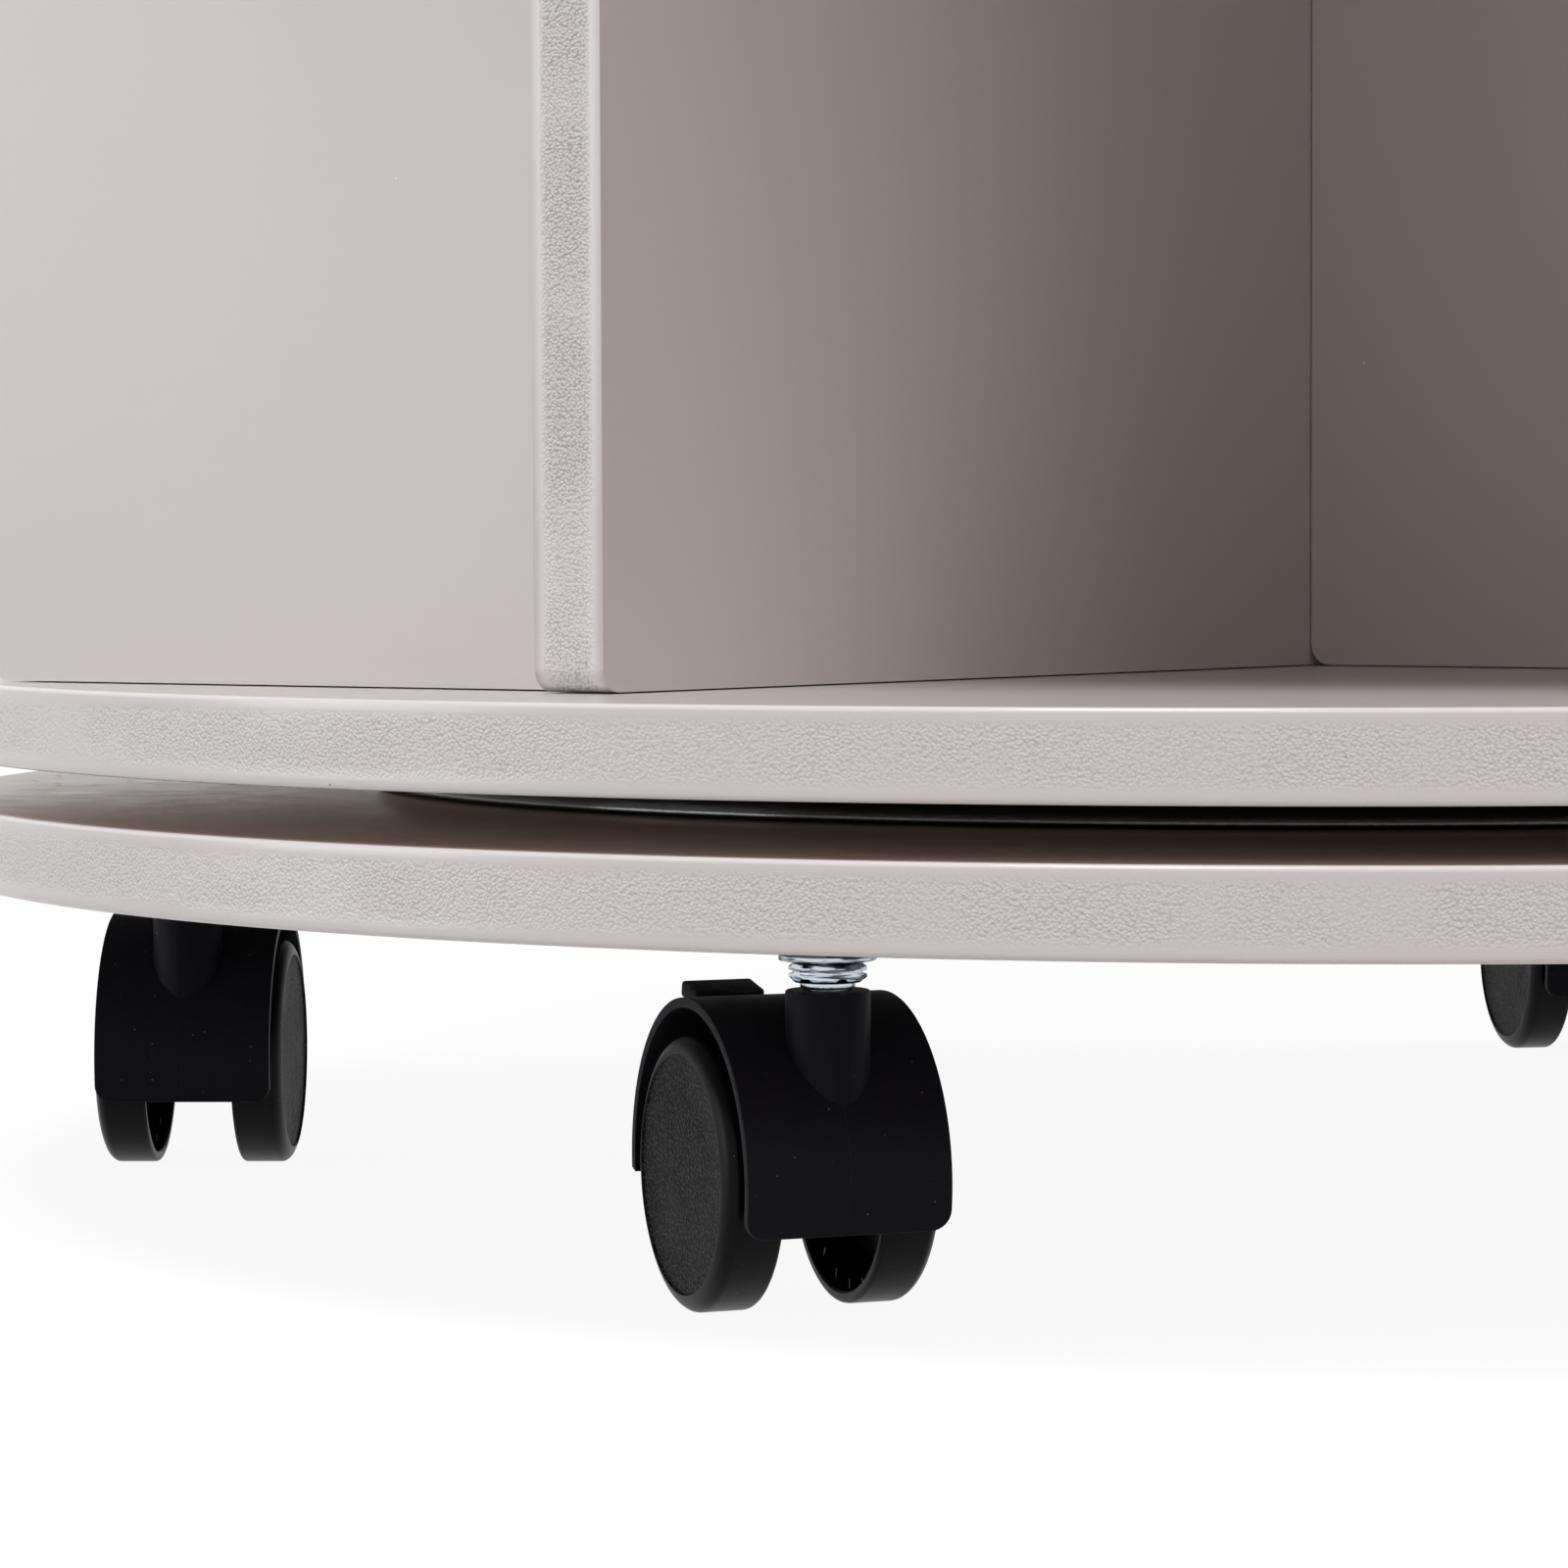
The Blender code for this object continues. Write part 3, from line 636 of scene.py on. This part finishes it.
# turntable: two black races with a ring of balls between them

raceLook = {"steps": 256, "swell": 0.010, "swellAt": -0.0001, "sideSteps": 12, "edge": 0.0009,
            "groove": 0.0033, "lip": 0.00165, "wall": 0.016, "ballGap": 0.00125, "chamfer": 0.0008}


def raceTrack():
    # radius and height of the balls' circle
    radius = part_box("turntable_lower_race")[1].x - raceLook["wall"] - raceLook["ballGap"]
    return radius, (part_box("base_disc")[1].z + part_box("carcass_floor")[0].z) / 2


def addRace(name, profile, body):
    mesh = turnedMesh(name + "RaceLook", profile, raceLook["steps"], ring=True, sharp=50)
    addPiece(name + "_race_look", mesh, [ringBlack], body, [f"turntable_{name}_race"])


def makeLowerRace():
    low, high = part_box("turntable_lower_race")
    radius, e, steps = high.x, raceLook["edge"], raceLook["sideSteps"]
    track, middle = raceTrack()
    inner = track + raceLook["lip"]
    widest = low.z + raceLook["swellAt"]
    side = []
    for i in range(steps + 1):                           # outer side swells a little, most near its foot
        z = low.z + e + (high.z - low.z - 2 * e) * i / steps
        side.append((radius - (z - widest) ** 2 / (2 * raceLook["swell"]), z))
    top = arcPoints((side[-1][0] - e, high.z - e), e, 0, 90, 4)
    foot = arcPoints((side[0][0] - e, low.z + e), e, -90, 0, 4)
    profile = [(inner, low.z)] + foot + side[1:-1] + top + [(inner, high.z)]
    profile += arcPoints((track, middle), raceLook["groove"], 60, -60, 10)
    addRace("lower", profile, "base")


def makeUpperRace():
    low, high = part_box("turntable_upper_race")
    track, middle = raceTrack()
    outer, e = track - raceLook["lip"], raceLook["chamfer"]
    inner = outer - raceLook["wall"]
    profile = [(outer, high.z)] + arcPoints((track, middle), raceLook["groove"], 120, 240, 10)
    profile += [(outer, low.z), (inner + e, low.z), (inner, low.z + e)]
    profile += [(inner, high.z - e), (inner + e, high.z)]
    addRace("upper", profile, "carcass")


ballLook = {"count": 12, "radius": 0.0025, "cageWall": 0.0014, "cageHeight": 0.0032, "cageRound": 0.0004}


def makeBallTree():
    tree, given, result = newGroup("ballsInCage", "GeometryNodeTree", [
        ("Count", "Int", 12), ("Track Radius", "Float", 0.19), ("Ball Radius", "Float", 0.0025),
        ("Cage Wall", "Float", 0.0014), ("Cage Height", "Float", 0.0032), ("Cage Round", "Float", 0.0004),
    ], [("Geometry", "Geometry")])
    ring = geoNode(tree, "MeshCircle", {"Vertices": given["Count"], "Radius": given["Track Radius"]})
    ball = geoNode(tree, "MeshUVSphere", {"Segments": 32, "Rings": 16, "Radius": given["Ball Radius"]})
    balls = geoNode(tree, "InstanceOnPoints", {"Points": ring, "Instance": ball})
    path = geoNode(tree, "CurvePrimitiveCircle", {"Resolution": 192, "Radius": given["Track Radius"]})
    band = geoNode(tree, "CurvePrimitiveQuadrilateral", {
        "Width": given["Cage Wall"], "Height": given["Cage Height"]})
    eased = geoNode(tree, "FilletCurve", {
        "Curve": band, "Count": 3, "Radius": given["Cage Round"]}, mode="POLY")
    cage = geoNode(tree, "CurveToMesh", {"Curve": path, "Profile Curve": eased})
    both = addNode(tree, "GeometryNodeJoinGeometry")
    tree.links.new(balls, both.inputs[0])
    tree.links.new(cage, both.inputs[0])
    finishTree(tree, result, both.outputs[0], ballSteel)
    return tree


def makeBallRing():
    low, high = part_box("turntable_ball_cage")
    look = ballLook
    mesh = grownMesh("ballHolder", makeBallTree(), {
        "Count": look["count"], "Track Radius": high.x - look["radius"], "Ball Radius": look["radius"],
        "Cage Wall": look["cageWall"], "Cage Height": look["cageHeight"], "Cage Round": look["cageRound"]})
    mesh.transform(Matrix.Translation((0, 0, (low.z + high.z) / 2)))
    bm = bmesh.new()
    bm.from_mesh(mesh)
    mesh = closeMesh("ballRingLook", bm)
    softShade(mesh)
    addPiece("ball_ring_look", mesh, [ballSteel], "ball_cage", ["turntable_ball_cage"])


# casters: x trails behind the stem, y points to the left wheel, heights from the floor

joints = {joint["name"]: joint for joint in frame["joints"]}
casterNames = ("front", "left", "rear", "right")
brakedCasters = [name for name in casterNames if f"caster_{name}_brake_press" in joints]
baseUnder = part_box("base_disc")[0].z
hair = 0.0001                                            # the least step between two surfaces


def spotOf(joint):
    return Vector(joints[joint]["pos_m"])


def stemSpot(name):
    place = spotOf(f"caster_{name}_swivel_turn")
    return Matrix.Translation((place.x, place.y, 0))


def axleSpot(name):
    stem = spotOf(f"caster_{name}_swivel_turn")
    axle = spotOf(f"caster_{name}_wheel_left_roll")
    heading = math.atan2(axle.y - stem.y, axle.x - stem.x)
    return Matrix.Translation(axle) @ Matrix.Rotation(heading, 4, "Z")


def levelGap(a, b):
    return math.hypot(a.x - b.x, a.y - b.y)


frontAxle, brakePin = spotOf("caster_front_wheel_left_roll"), spotOf("caster_front_brake_press")
trail = levelGap(frontAxle, spotOf("caster_front_swivel_turn"))
pinBehind, pinAbove = levelGap(brakePin, frontAxle), brakePin.z - frontAxle.z

hoodLook = {"radius": 0.0318, "halfWidth": 0.01925, "wall": 0.0018, "skirt": -0.0082, "corner": 0.0036,
            "tailOuter": -4.6, "tailInner": -6.2, "edgeRound": 0.00045, "webHalf": 0.0086, "cutReach": 0.03,
            "webSpan": (-3, 193), "webLift": 0.0003, "bossRadius": 0.0076, "bossTop": 0.0344,
            "bossFoot": 0.0080, "socketRadius": 0.0043, "socketDepth": 0.0203, "bore": 0.0033,
            "archSteps": 64, "cornerSteps": 8, "acrossSteps": 24, "bossSteps": 72, "seamSteps": 30,
            "seamTop": 0.0148, "seamEnd": 1.5, "seamWidth": 0.00022, "seamRise": 0.00007, "seamRoot": -0.0002}


def hoodRows(radius, tail):
    # (turn, half width) from the tail over the top and down to the skirt
    look = hoodLook
    cornerTop = look["skirt"] + look["corner"]
    frontTurn = math.pi + math.asin(-cornerTop / radius)
    rows = []
    for i in range(look["archSteps"] + 1):
        t = i / look["archSteps"]
        rows.append((math.radians(tail) + (frontTurn - math.radians(tail)) * t, look["halfWidth"]))
    for i in range(1, look["cornerSteps"] + 1):
        turn = math.pi / 2 * i / look["cornerSteps"]
        z = cornerTop - look["corner"] * math.sin(turn)
        half = look["halfWidth"] - look["corner"] + look["corner"] * math.cos(turn)
        rows.append((math.pi + math.asin(-z / radius), half))
    return rows


def hoodShell():
    look = hoodLook
    bm = bmesh.new()
    count = look["acrossSteps"]
    layers = []
    inside = look["radius"] - look["wall"]
    for radius, tail in ((look["radius"], look["tailOuter"]), (inside, look["tailInner"])):
        grid = []
        for turn, half in hoodRows(radius, tail):
            x, z = radius * math.cos(turn), radius * math.sin(turn)
            grid.append([bm.verts.new((x, half * (2 * k / count - 1), z)) for k in range(count + 1)])
        layers.append(grid)
    outer, inner = layers
    last = len(outer) - 1
    for j in range(last):
        for k in range(count):
            bm.faces.new((outer[j][k], outer[j][k + 1], outer[j + 1][k + 1], outer[j + 1][k]))
            bm.faces.new((inner[j][k], inner[j + 1][k], inner[j + 1][k + 1], inner[j][k + 1]))
        for k in (0, count):
            bm.faces.new((outer[j][k], outer[j + 1][k], inner[j + 1][k], inner[j][k]))
    for j in (0, last):
        for k in range(count):
            bm.faces.new((outer[j][k], outer[j][k + 1], inner[j][k + 1], inner[j][k]))
    bmesh.ops.recalc_face_normals(bm, faces=bm.faces)
    bevelSharp(bm, look["edgeRound"], 3)
    return closeMesh("hoodShell", bm)


def hoodWeb():
    look = hoodLook
    radius = look["radius"] - look["wall"] / 2
    low = look["skirt"] + look["webLift"]
    outline = arcPoints((0, 0), radius, *look["webSpan"], 60) + [(-radius * 0.9, low), (radius * 0.4, low)]
    bm = bmesh.new()
    extrudeOutline(bm, outline, -look["webHalf"], look["webHalf"])
    return closeMesh("hoodWeb", bm)


def hoodBoss():
    look = hoodLook
    e, radius, top = look["edgeRound"], look["bossRadius"], look["bossTop"]
    profile = [(0, look["bossFoot"]), (radius, look["bossFoot"])]
    profile += arcPoints((radius - e, top - e), e, 0, 90, 4) + [(0, top)]
    mesh = turnedMesh("hoodBoss", profile, look["bossSteps"])
    mesh.transform(Matrix.Translation((-trail, 0, 0)))
    return mesh


def hoodSeam():
    # the faint mould line down the front, from the boss's foot to the skirt
    look, steps = hoodLook, hoodLook["seamSteps"]
    start = 180 - math.degrees(math.asin(look["seamTop"] / look["radius"]))
    end = 180 + math.degrees(math.asin(-look["skirt"] / look["radius"])) - look["seamEnd"]
    half, root = look["seamWidth"] / 2, look["seamRoot"]
    bm = bmesh.new()
    rows = []
    for i in range(steps + 1):
        turn = math.radians(start + (end - start) * i / steps)
        rise = look["seamRise"] * math.sin(math.pi * i / steps) ** 0.4
        row = []
        for y, r in ((-half, root), (0, rise), (half, root)):
            radius = look["radius"] + r
            row.append(bm.verts.new((radius * math.cos(turn), y, radius * math.sin(turn))))
        rows.append(row)
    for a, b in zip(rows, rows[1:]):
        for k in range(3):
            n = (k + 1) % 3
            bm.faces.new((a[k], a[n], b[n], b[k]))
    bm.faces.new(rows[0])
    bm.faces.new(rows[-1][::-1])
    return closeMesh("hoodSeam", bm)


pedalLook = {"top": 0.0089, "thick": 0.0032, "front": 0.0165, "back": 0.0247, "half": 0.0070, "lift": 11,
             "armHalf": 0.004, "armThick": 0.006, "round": 0.0007, "slotFoot": 0.0045, "slotHalf": 0.0046,
             "slotReach": 0.05, "pinRadius": 0.0015, "pinHalf": 0.0083, "pinRoom": 0.0003,
             "armDrop": 0.0004, "armLap": 0.0008}


def boxMesh(name, low, high, rounding=0.0):
    bm = bmesh.new()
    bmesh.ops.create_cube(bm, size=1.0)
    size = Vector(high) - Vector(low)
    bmesh.ops.scale(bm, vec=size, verts=bm.verts)
    bmesh.ops.translate(bm, vec=(Vector(low) + Vector(high)) / 2, verts=bm.verts)
    if rounding:
        bevelSharp(bm, rounding, 3)
    return closeMesh(name, bm)


def hoodMesh(braked):
    look, pedal, reach = hoodLook, pedalLook, hoodLook["cutReach"]
    steps = [("UNION", hoodWeb()), ("UNION", hoodBoss())]
    socket = cylinderMesh("hoodSocket", look["socketRadius"], look["bossTop"] - look["socketDepth"],
                          look["bossTop"] + 0.01, 48)
    socket.transform(Matrix.Translation((-trail, 0, 0)))
    steps.append(("DIFFERENCE", socket))
    sideways = Matrix.Rotation(math.pi / 2, 4, "X")
    bore = cylinderMesh("hoodBore", look["bore"], -reach, reach, 32)
    bore.transform(sideways)
    steps.append(("DIFFERENCE", bore))
    if braked:
        x, z = pinBehind, pinAbove
        foot, half, far = pedal["slotFoot"], pedal["slotHalf"], pedal["slotReach"]
        slot = boxMesh("brakeSlot", (x - foot, -half, z - foot), (x + far, half, z + far))
        steps.append(("DIFFERENCE", slot))
        pinHole = cylinderMesh("brakePinHole", pedal["pinRadius"] + pedal["pinRoom"], -reach, reach, 24)
        pinHole.transform(Matrix.Translation((x, 0, z)) @ sideways)
        steps.append(("DIFFERENCE", pinHole))
    mesh = joinSolids("hood", hoodShell(), steps)
    bm = bmesh.new()
    bm.from_mesh(mesh)
    bm.from_mesh(hoodSeam())
    mesh = closeMesh("hoodLook", bm, 0)
    softShade(mesh, 30)
    markEdgeHighlights(mesh)
    return mesh


def pedalMesh():
    look = pedalLook
    half = look["armThick"] / 2
    low = look["top"] - look["thick"]
    f, b = look["front"], look["back"]
    plate = boxMesh("pedalPlate", (f, -look["half"], low), (b, look["half"], look["top"]), look["round"])
    neck = low + look["thick"] / 2
    side = [(-half, half * 0.6), (-half * 0.6, -half), (half, -half)]
    side += [(f + 0.7 * half * 2, low - look["armDrop"]), (f + 0.6 * half * 2, neck)]
    side += [(f + look["armLap"], neck)]
    bm = bmesh.new()
    extrudeOutline(bm, side, -look["armHalf"], look["armHalf"])
    arm = closeMesh("pedalArm", bm)
    pin = cylinderMesh("pedalPin", look["pinRadius"], -look["pinHalf"], look["pinHalf"], 24)
    pin.transform(Matrix.Rotation(math.pi / 2, 4, "X"))
    mesh = joinSolids("pedal", plate, [("UNION", arm), ("UNION", pin)])
    lifted = Matrix.Rotation(-math.radians(look["lift"]), 4, "Y")
    mesh.transform(Matrix.Translation((pinBehind, 0, pinAbove)) @ lifted)
    softShade(mesh, 30)
    markEdgeHighlights(mesh)
    return mesh


wheelLook = {"radius": 0.025, "width": 0.0112, "spacing": 0.0192, "shoulder": 0.0032, "wall": 0.0022,
             "discRadius": 0.0219, "discSink": 0.0005, "hub": 0.0062, "bore": 0.0033, "lip": 0.0009,
             "fine": 0.0002, "chamfer": 0.0004, "taper": 0.0006, "hubEdge": 0.0003, "groove": 0.0005,
             "steps": 112}
toothLook = {"count": 20, "radius": 0.0219, "length": 0.0022, "thick": 0.0005, "depth": 0.0070,
             "sink": 0.0003}


def wheelMesh():
    # outer face up at the wheel's width, open inner side at height 0
    look = wheelLook
    width, radius, shoulder, disc = look["width"], look["radius"], look["shoulder"], look["discRadius"]
    fine, chamfer, lip = look["fine"], look["chamfer"], look["lip"]
    hub, bore, ease = look["hub"], look["bore"], look["hubEdge"]
    face, inside, rim = width - look["discSink"], width - look["wall"], radius - look["wall"]
    profile = [(0, face), (disc * 0.6, face), (disc - chamfer, face)]
    profile += arcPoints((disc + fine, face + hair), look["groove"], 215, 90, 4)[1:]
    profile += arcPoints((radius - shoulder + fine, width - fine - shoulder), shoulder, 72, 0, 9)
    profile = [(min(r, radius), min(z, width)) for r, z in profile]
    profile += [(radius, lip)] + arcPoints((radius - lip, lip), lip, 0, -90, 4)[1:]
    profile += [(rim + chamfer, 0), (rim, chamfer), (rim - look["taper"], inside), (hub, inside)]
    profile += [(hub, ease), (hub - ease, 0), (bore, 0), (bore, inside), (0, inside)]
    mesh = turnedMesh("wheelLook", profile, look["steps"], sharp=40)
    for part in mesh.polygons:
        onDisc = part.center.z > face - hair and part.center.xy.length < disc - fine
        part.material_index = 1 if onDisc else 0
    return mesh


def makeToothTree():
    tree, given, result = newGroup("brakeTeethAround", "GeometryNodeTree", [
        ("Count", "Int", 20), ("Radius", "Float", 0.02), ("Length", "Float", 0.002),
        ("Thickness", "Float", 0.0005), ("Depth", "Float", 0.008),
    ], [("Geometry", "Geometry")])
    ring = geoNode(tree, "MeshCircle", {"Vertices": given["Count"], "Radius": given["Radius"]})
    size = addNode(tree, "ShaderNodeCombineXYZ", inputs={
        "X": given["Length"], "Y": given["Thickness"], "Z": given["Depth"]})
    tooth = geoNode(tree, "MeshCube", {"Size": size.outputs[0]})
    place = geoNode(tree, "InputPosition")
    facing = addNode(tree, "FunctionNodeAlignRotationToVector", axis="X", inputs={"Vector": place})
    teeth = geoNode(tree, "InstanceOnPoints", {
        "Points": ring, "Instance": tooth, "Rotation": facing.outputs[0]})
    finishTree(tree, result, teeth, wheelPlastic)
    return tree


def toothMesh():
    look = toothLook
    mesh = grownMesh("toothHolder", makeToothTree(), {
        "Count": look["count"], "Radius": look["radius"], "Length": look["length"],
        "Thickness": look["thick"], "Depth": look["depth"]})
    lift = wheelLook["width"] - wheelLook["wall"] - look["depth"] / 2 + look["sink"]
    mesh.transform(Matrix.Translation((0, 0, lift)))
    for face in mesh.polygons:                           # the free end of each rib takes the pale finish
        face.material_index = 1 if face.normal.z < -0.9 else 0
    return mesh


stemLook = {"radius": 0.004, "top": 0.0807, "foot": 0.0394, "collarRadius": 0.0049, "collarLow": 0.0597,
            "collarHigh": 0.0608, "shoulderHigh": 0.0644, "shoulderFlats": 0.0122, "collarEdge": 0.0003,
            "tip": 0.0006, "steps": 72}
shoulderRows = {"low": ((0.96, 0.0), (1.04, 0.0004), (1.15, 0.0009)),
                "mid": ((1.15, -0.0003), (1.02, -0.00015), (1.02, 0.00015), (1.15, 0.0003)),
                "high": ((1.15, -0.0008), (1.04, -0.0003), (0.96, 0.0))}
nutLook = {"low": 0.0647, "flangeHigh": 0.0659, "high": 0.0697, "flats": 0.0130, "flangeRadius": 0.0088,
           "bore": 0.0043, "edge": 0.0003, "foot": 0.0002, "chamfer": 0.0008, "steps": 72}
insertLook = {"flange": 0.0012, "depth": 0.011, "flangeRadius": 0.0085, "barrel": 0.0055, "bore": 0.0043,
              "edge": 0.0003, "chamfer": 0.0004, "room": 0.0003, "steps": 48}


def hexRadius(turn, flats):
    part = math.pi / 3
    return flats / 2 / math.cos((turn + part / 2) % part - part / 2)


def stemMesh():
    # the hexagon shoulder has a shallow groove at half its height
    look = stemLook
    low, high, flats = look["collarHigh"], look["shoulderHigh"], look["shoulderFlats"]
    radius, collar, e, tip = look["radius"], look["collarRadius"], look["collarEdge"], look["tip"]
    profile = [(0, look["foot"]), (radius, look["foot"]), (radius, look["collarLow"])]
    profile += arcPoints((collar - e, look["collarLow"] + e), e, -90, 0, 3) + [(collar, low - hair)]
    for level, z in (("low", low), ("mid", (low + high) / 2), ("high", high)):
        profile += [(flats / 2 * share, z + rise) for share, rise in shoulderRows[level]]
    profile += [(radius, high), (radius, look["top"] - tip), (radius - tip, look["top"]), (0, look["top"])]

    def shape(turn, out, height):
        onHex = low - 1e-6 <= height <= high + 1e-6 and out > collar + hair
        return min(out, hexRadius(turn, flats)) if onHex else out

    return turnedMesh("stemLook", profile, look["steps"], shape=shape, sharp=28)


def nutMesh():
    look = nutLook
    low, mid, high, bore = look["low"], look["flangeHigh"], look["high"], look["bore"]
    across, flange, e = look["flats"] / 2, look["flangeRadius"], look["edge"]
    profile = [(bore, low)] + arcPoints((flange - e, low + e), e, -90, 0, 3)
    profile += [(flange, mid - e), (flange - e, mid), (across * 1.16, mid + look["foot"])]
    profile += [(across * 1.15, high - look["chamfer"]), (across * 1.02, high), (bore, high)]

    def shape(turn, out, height):
        onHex = height > mid + 1e-5 and out > bore + hair
        return min(out, hexRadius(turn, look["flats"])) if onHex else out

    return turnedMesh("nutLook", profile, look["steps"], ring=True, shape=shape, sharp=28)


def insertNutMesh():
    look = insertLook
    low, flange, barrel, bore = baseUnder, look["flangeRadius"], look["barrel"], look["bore"]
    step, top, e, c = low + look["flange"], low + look["depth"], look["edge"], look["chamfer"]
    profile = [(bore, low), (flange - e, low), (flange, low + e), (flange, step), (barrel, step)]
    profile += [(barrel, top - c), (barrel - c, top), (bore, top)]
    return turnedMesh("insertNutLook", profile, look["steps"], ring=True, sharp=28)


def placedCopy(mesh, name, matrix):
    copy = mesh.copy()
    copy.name = name
    copy.transform(matrix)
    return copy


def makeCasters():
    plainHood, brakedHood = hoodMesh(False), hoodMesh(True)
    wheel, teeth, pedal = wheelMesh(), toothMesh(), pedalMesh()
    stem, nut, insert = stemMesh(), nutMesh(), insertNutMesh()
    for name in casterNames:
        prefix = f"caster_{name}"
        hub = axleSpot(name)
        braked = name in brakedCasters
        hood = placedCopy(brakedHood if braked else plainHood, prefix + "HoodLook", hub)
        addPiece(prefix + "_hood_look", hood, [hoodPlastic], prefix + "_swivel",
                 [prefix + "_hood"])
        for side, way in (("left", 1), ("right", -1)):
            turned = Matrix.Rotation(-way * math.pi / 2, 4, "X")
            spot = hub @ Matrix.Translation((0, way * wheelLook["spacing"] / 2, 0)) @ turned
            body = f"{prefix}_wheel_{side}"
            addPiece(body + "_look", placedCopy(wheel, body + "Look", spot), [wheelPlastic, discPlastic],
                     body, [body])
            addPiece(body + "_brake_teeth", placedCopy(teeth, body + "Teeth", spot),
                     [wheelPlastic, toothPlastic], body)
        if braked:
            addPiece(prefix + "_pedal_look", placedCopy(pedal, prefix + "PedalLook", hub), [hoodPlastic],
                     prefix + "_brake", [prefix + "_brake_pedal"])
        place = stemSpot(name)
        for part, mesh in (("stem", stem), ("flange_nut", nut), ("insert_nut", insert)):
            addPiece(f"{prefix}_{part}_look", placedCopy(mesh, f"{prefix}_{part}Look", place), [zincPlate],
                     "base", [f"{prefix}_{part}"])
        axle = frame["nodes"][prefix + "_axle"]
        axle.data.materials.clear()
        axle.data.materials.append(zincPlate)


def baseHoles():
    # blind holes for the insert nuts, from below
    look, room = insertLook, insertLook["room"]
    holes = []
    for name in casterNames:
        for radius, depth in ((look["barrel"], look["depth"]), (look["flangeRadius"], look["flange"])):
            top = baseUnder + (depth + room)
            hole = cylinderMesh("insertHole", radius + room, baseUnder - 0.01, top, look["steps"])
            hole.transform(stemSpot(name))
            holes.append(hole)
    return holes


makeRoundBoard("base_disc", "base", baseHoles(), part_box("base_disc")[1].z)
makeRoundBoard("carcass_floor", "carcass", gapSide=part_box("carcass_floor")[0].z)
for board in ("shelf_1", "shelf_2", "top_board"):
    makeRoundBoard(board, "carcass")
makeDividers()
makeFences()
print("boards made")
makeLowerRace()
makeUpperRace()
makeBallRing()
print("turntable made")
makeCasters()
print("casters made")


# floor, light and camera

stageLook = {"floorSize": 14.0, "floorColour": (0.11, 0.11, 0.11, 1), "floorBounce": (0.46, 0.46, 0.46, 1),
             "floorGlow": 0.925, "glowSpan": (0.7, 2.2), "worldColour": (1.0, 0.80, 0.77, 1),
             "worldLevel": 0.32}


def seenRay(tree):
    # 1 for what the camera, a gloss or a glass sees
    rays = tree.nodes.new("ShaderNodeLightPath").outputs
    seen = math2(tree, "MAXIMUM", rays["Is Camera Ray"], rays["Is Glossy Ray"])
    return math2(tree, "MAXIMUM", seen, rays["Is Transmission Ray"])


def makeFloor():
    look = stageLook
    half = look["floorSize"] / 2
    mesh = bpy.data.meshes.new("paleFloor")
    corners = [(-half, -half, 0), (half, -half, 0), (half, half, 0), (-half, half, 0)]
    mesh.from_pydata(corners, [], [(0, 1, 2, 3)])
    floor = looseObject("paleFloor", mesh)
    finish, tree, shader, coords = newFinish("paleFloor", {
        "Roughness": 0.9, "Specular IOR Level": 0.0, "Emission Color": (1, 1, 1, 1)})
    seen = seenRay(tree)
    colour = mixColour(tree, seen, look["floorBounce"], look["floorColour"])
    tree.links.new(colour, shader.inputs["Base Color"])
    away = addNode(tree, "ShaderNodeVectorMath", operation="LENGTH", inputs={0: coords}).outputs["Value"]
    glow = mapRange(tree, away, *look["glowSpan"], look["floorGlow"], 1.0)   # far floor runs into the white
    tree.links.new(times(tree, seen, glow), shader.inputs["Emission Strength"])
    mesh.materials.append(finish)


def makeWorld():
    world = bpy.data.worlds.new("softStudio")
    bpy.context.scene.world = world
    world.use_nodes = True
    tree = world.node_tree
    back = tree.nodes["Background"]
    seen = seenRay(tree)
    tree.links.new(mixColour(tree, seen, stageLook["worldColour"], (1, 1, 1, 1)), back.inputs["Color"])
    level = addNode(tree, "ShaderNodeMix", data_type="FLOAT",
                    inputs={0: seen, 2: stageLook["worldLevel"], 3: 1.0})
    tree.links.new(level.outputs[0], back.inputs["Strength"])


lampLook = {
    "leftKey": {"at": (-2.3, -2.4, 0.40), "aim": (0, 0, 0.1), "size": 1.6, "power": 24,
                "colour": (0.95, 0.985, 1.0)},
    "rightFill": {"at": (2.8, -0.25, 1.55), "aim": (0, 0, 0.3), "size": 2.0, "power": 20,
                  "colour": (1.0, 0.95, 0.93)},
    "highLamp": {"at": (0.20, -1.20, 2.8), "aim": (0, -0.25, 0.1), "size": 0.8, "power": 38,
                 "colour": (0.97, 0.99, 1.0)},
    "backFill": {"at": (0.6, 2.8, 2.0), "aim": (0, 0, 0.5), "size": 2.2, "power": 40,
                 "colour": (1.0, 0.985, 0.975)},
}


def makeLamps():
    for name, look in lampLook.items():
        lamp = bpy.data.lights.new(name, "AREA")
        lamp.shape = "DISK"
        lamp.size = look["size"]
        lamp.energy = look["power"]
        lamp.color = look["colour"]
        obj = looseObject(name, lamp)
        obj.location = look["at"]
        way = Vector(look["aim"]) - Vector(look["at"])
        obj.rotation_euler = way.to_track_quat("-Z", "Y").to_euler()


cameraLook = {"at": (0.53762, -0.91671, 0.13594), "turn": (87.2491, 0.2188, 36.5981), "lens": 108.227}


def makeCamera():
    camera = bpy.data.cameras.new("closeCamera")
    camera.sensor_fit = "HORIZONTAL"
    camera.sensor_width = 36.0
    camera.lens = cameraLook["lens"]
    camera.clip_start = 0.01
    obj = looseObject("closeCamera", camera)
    obj.location = cameraLook["at"]
    obj.rotation_euler = [math.radians(a) for a in cameraLook["turn"]]
    bpy.context.scene.camera = obj


makeFloor()
makeWorld()
makeLamps()
makeCamera()
bpy.context.scene.view_settings.view_transform = "Standard"
print("stage made")
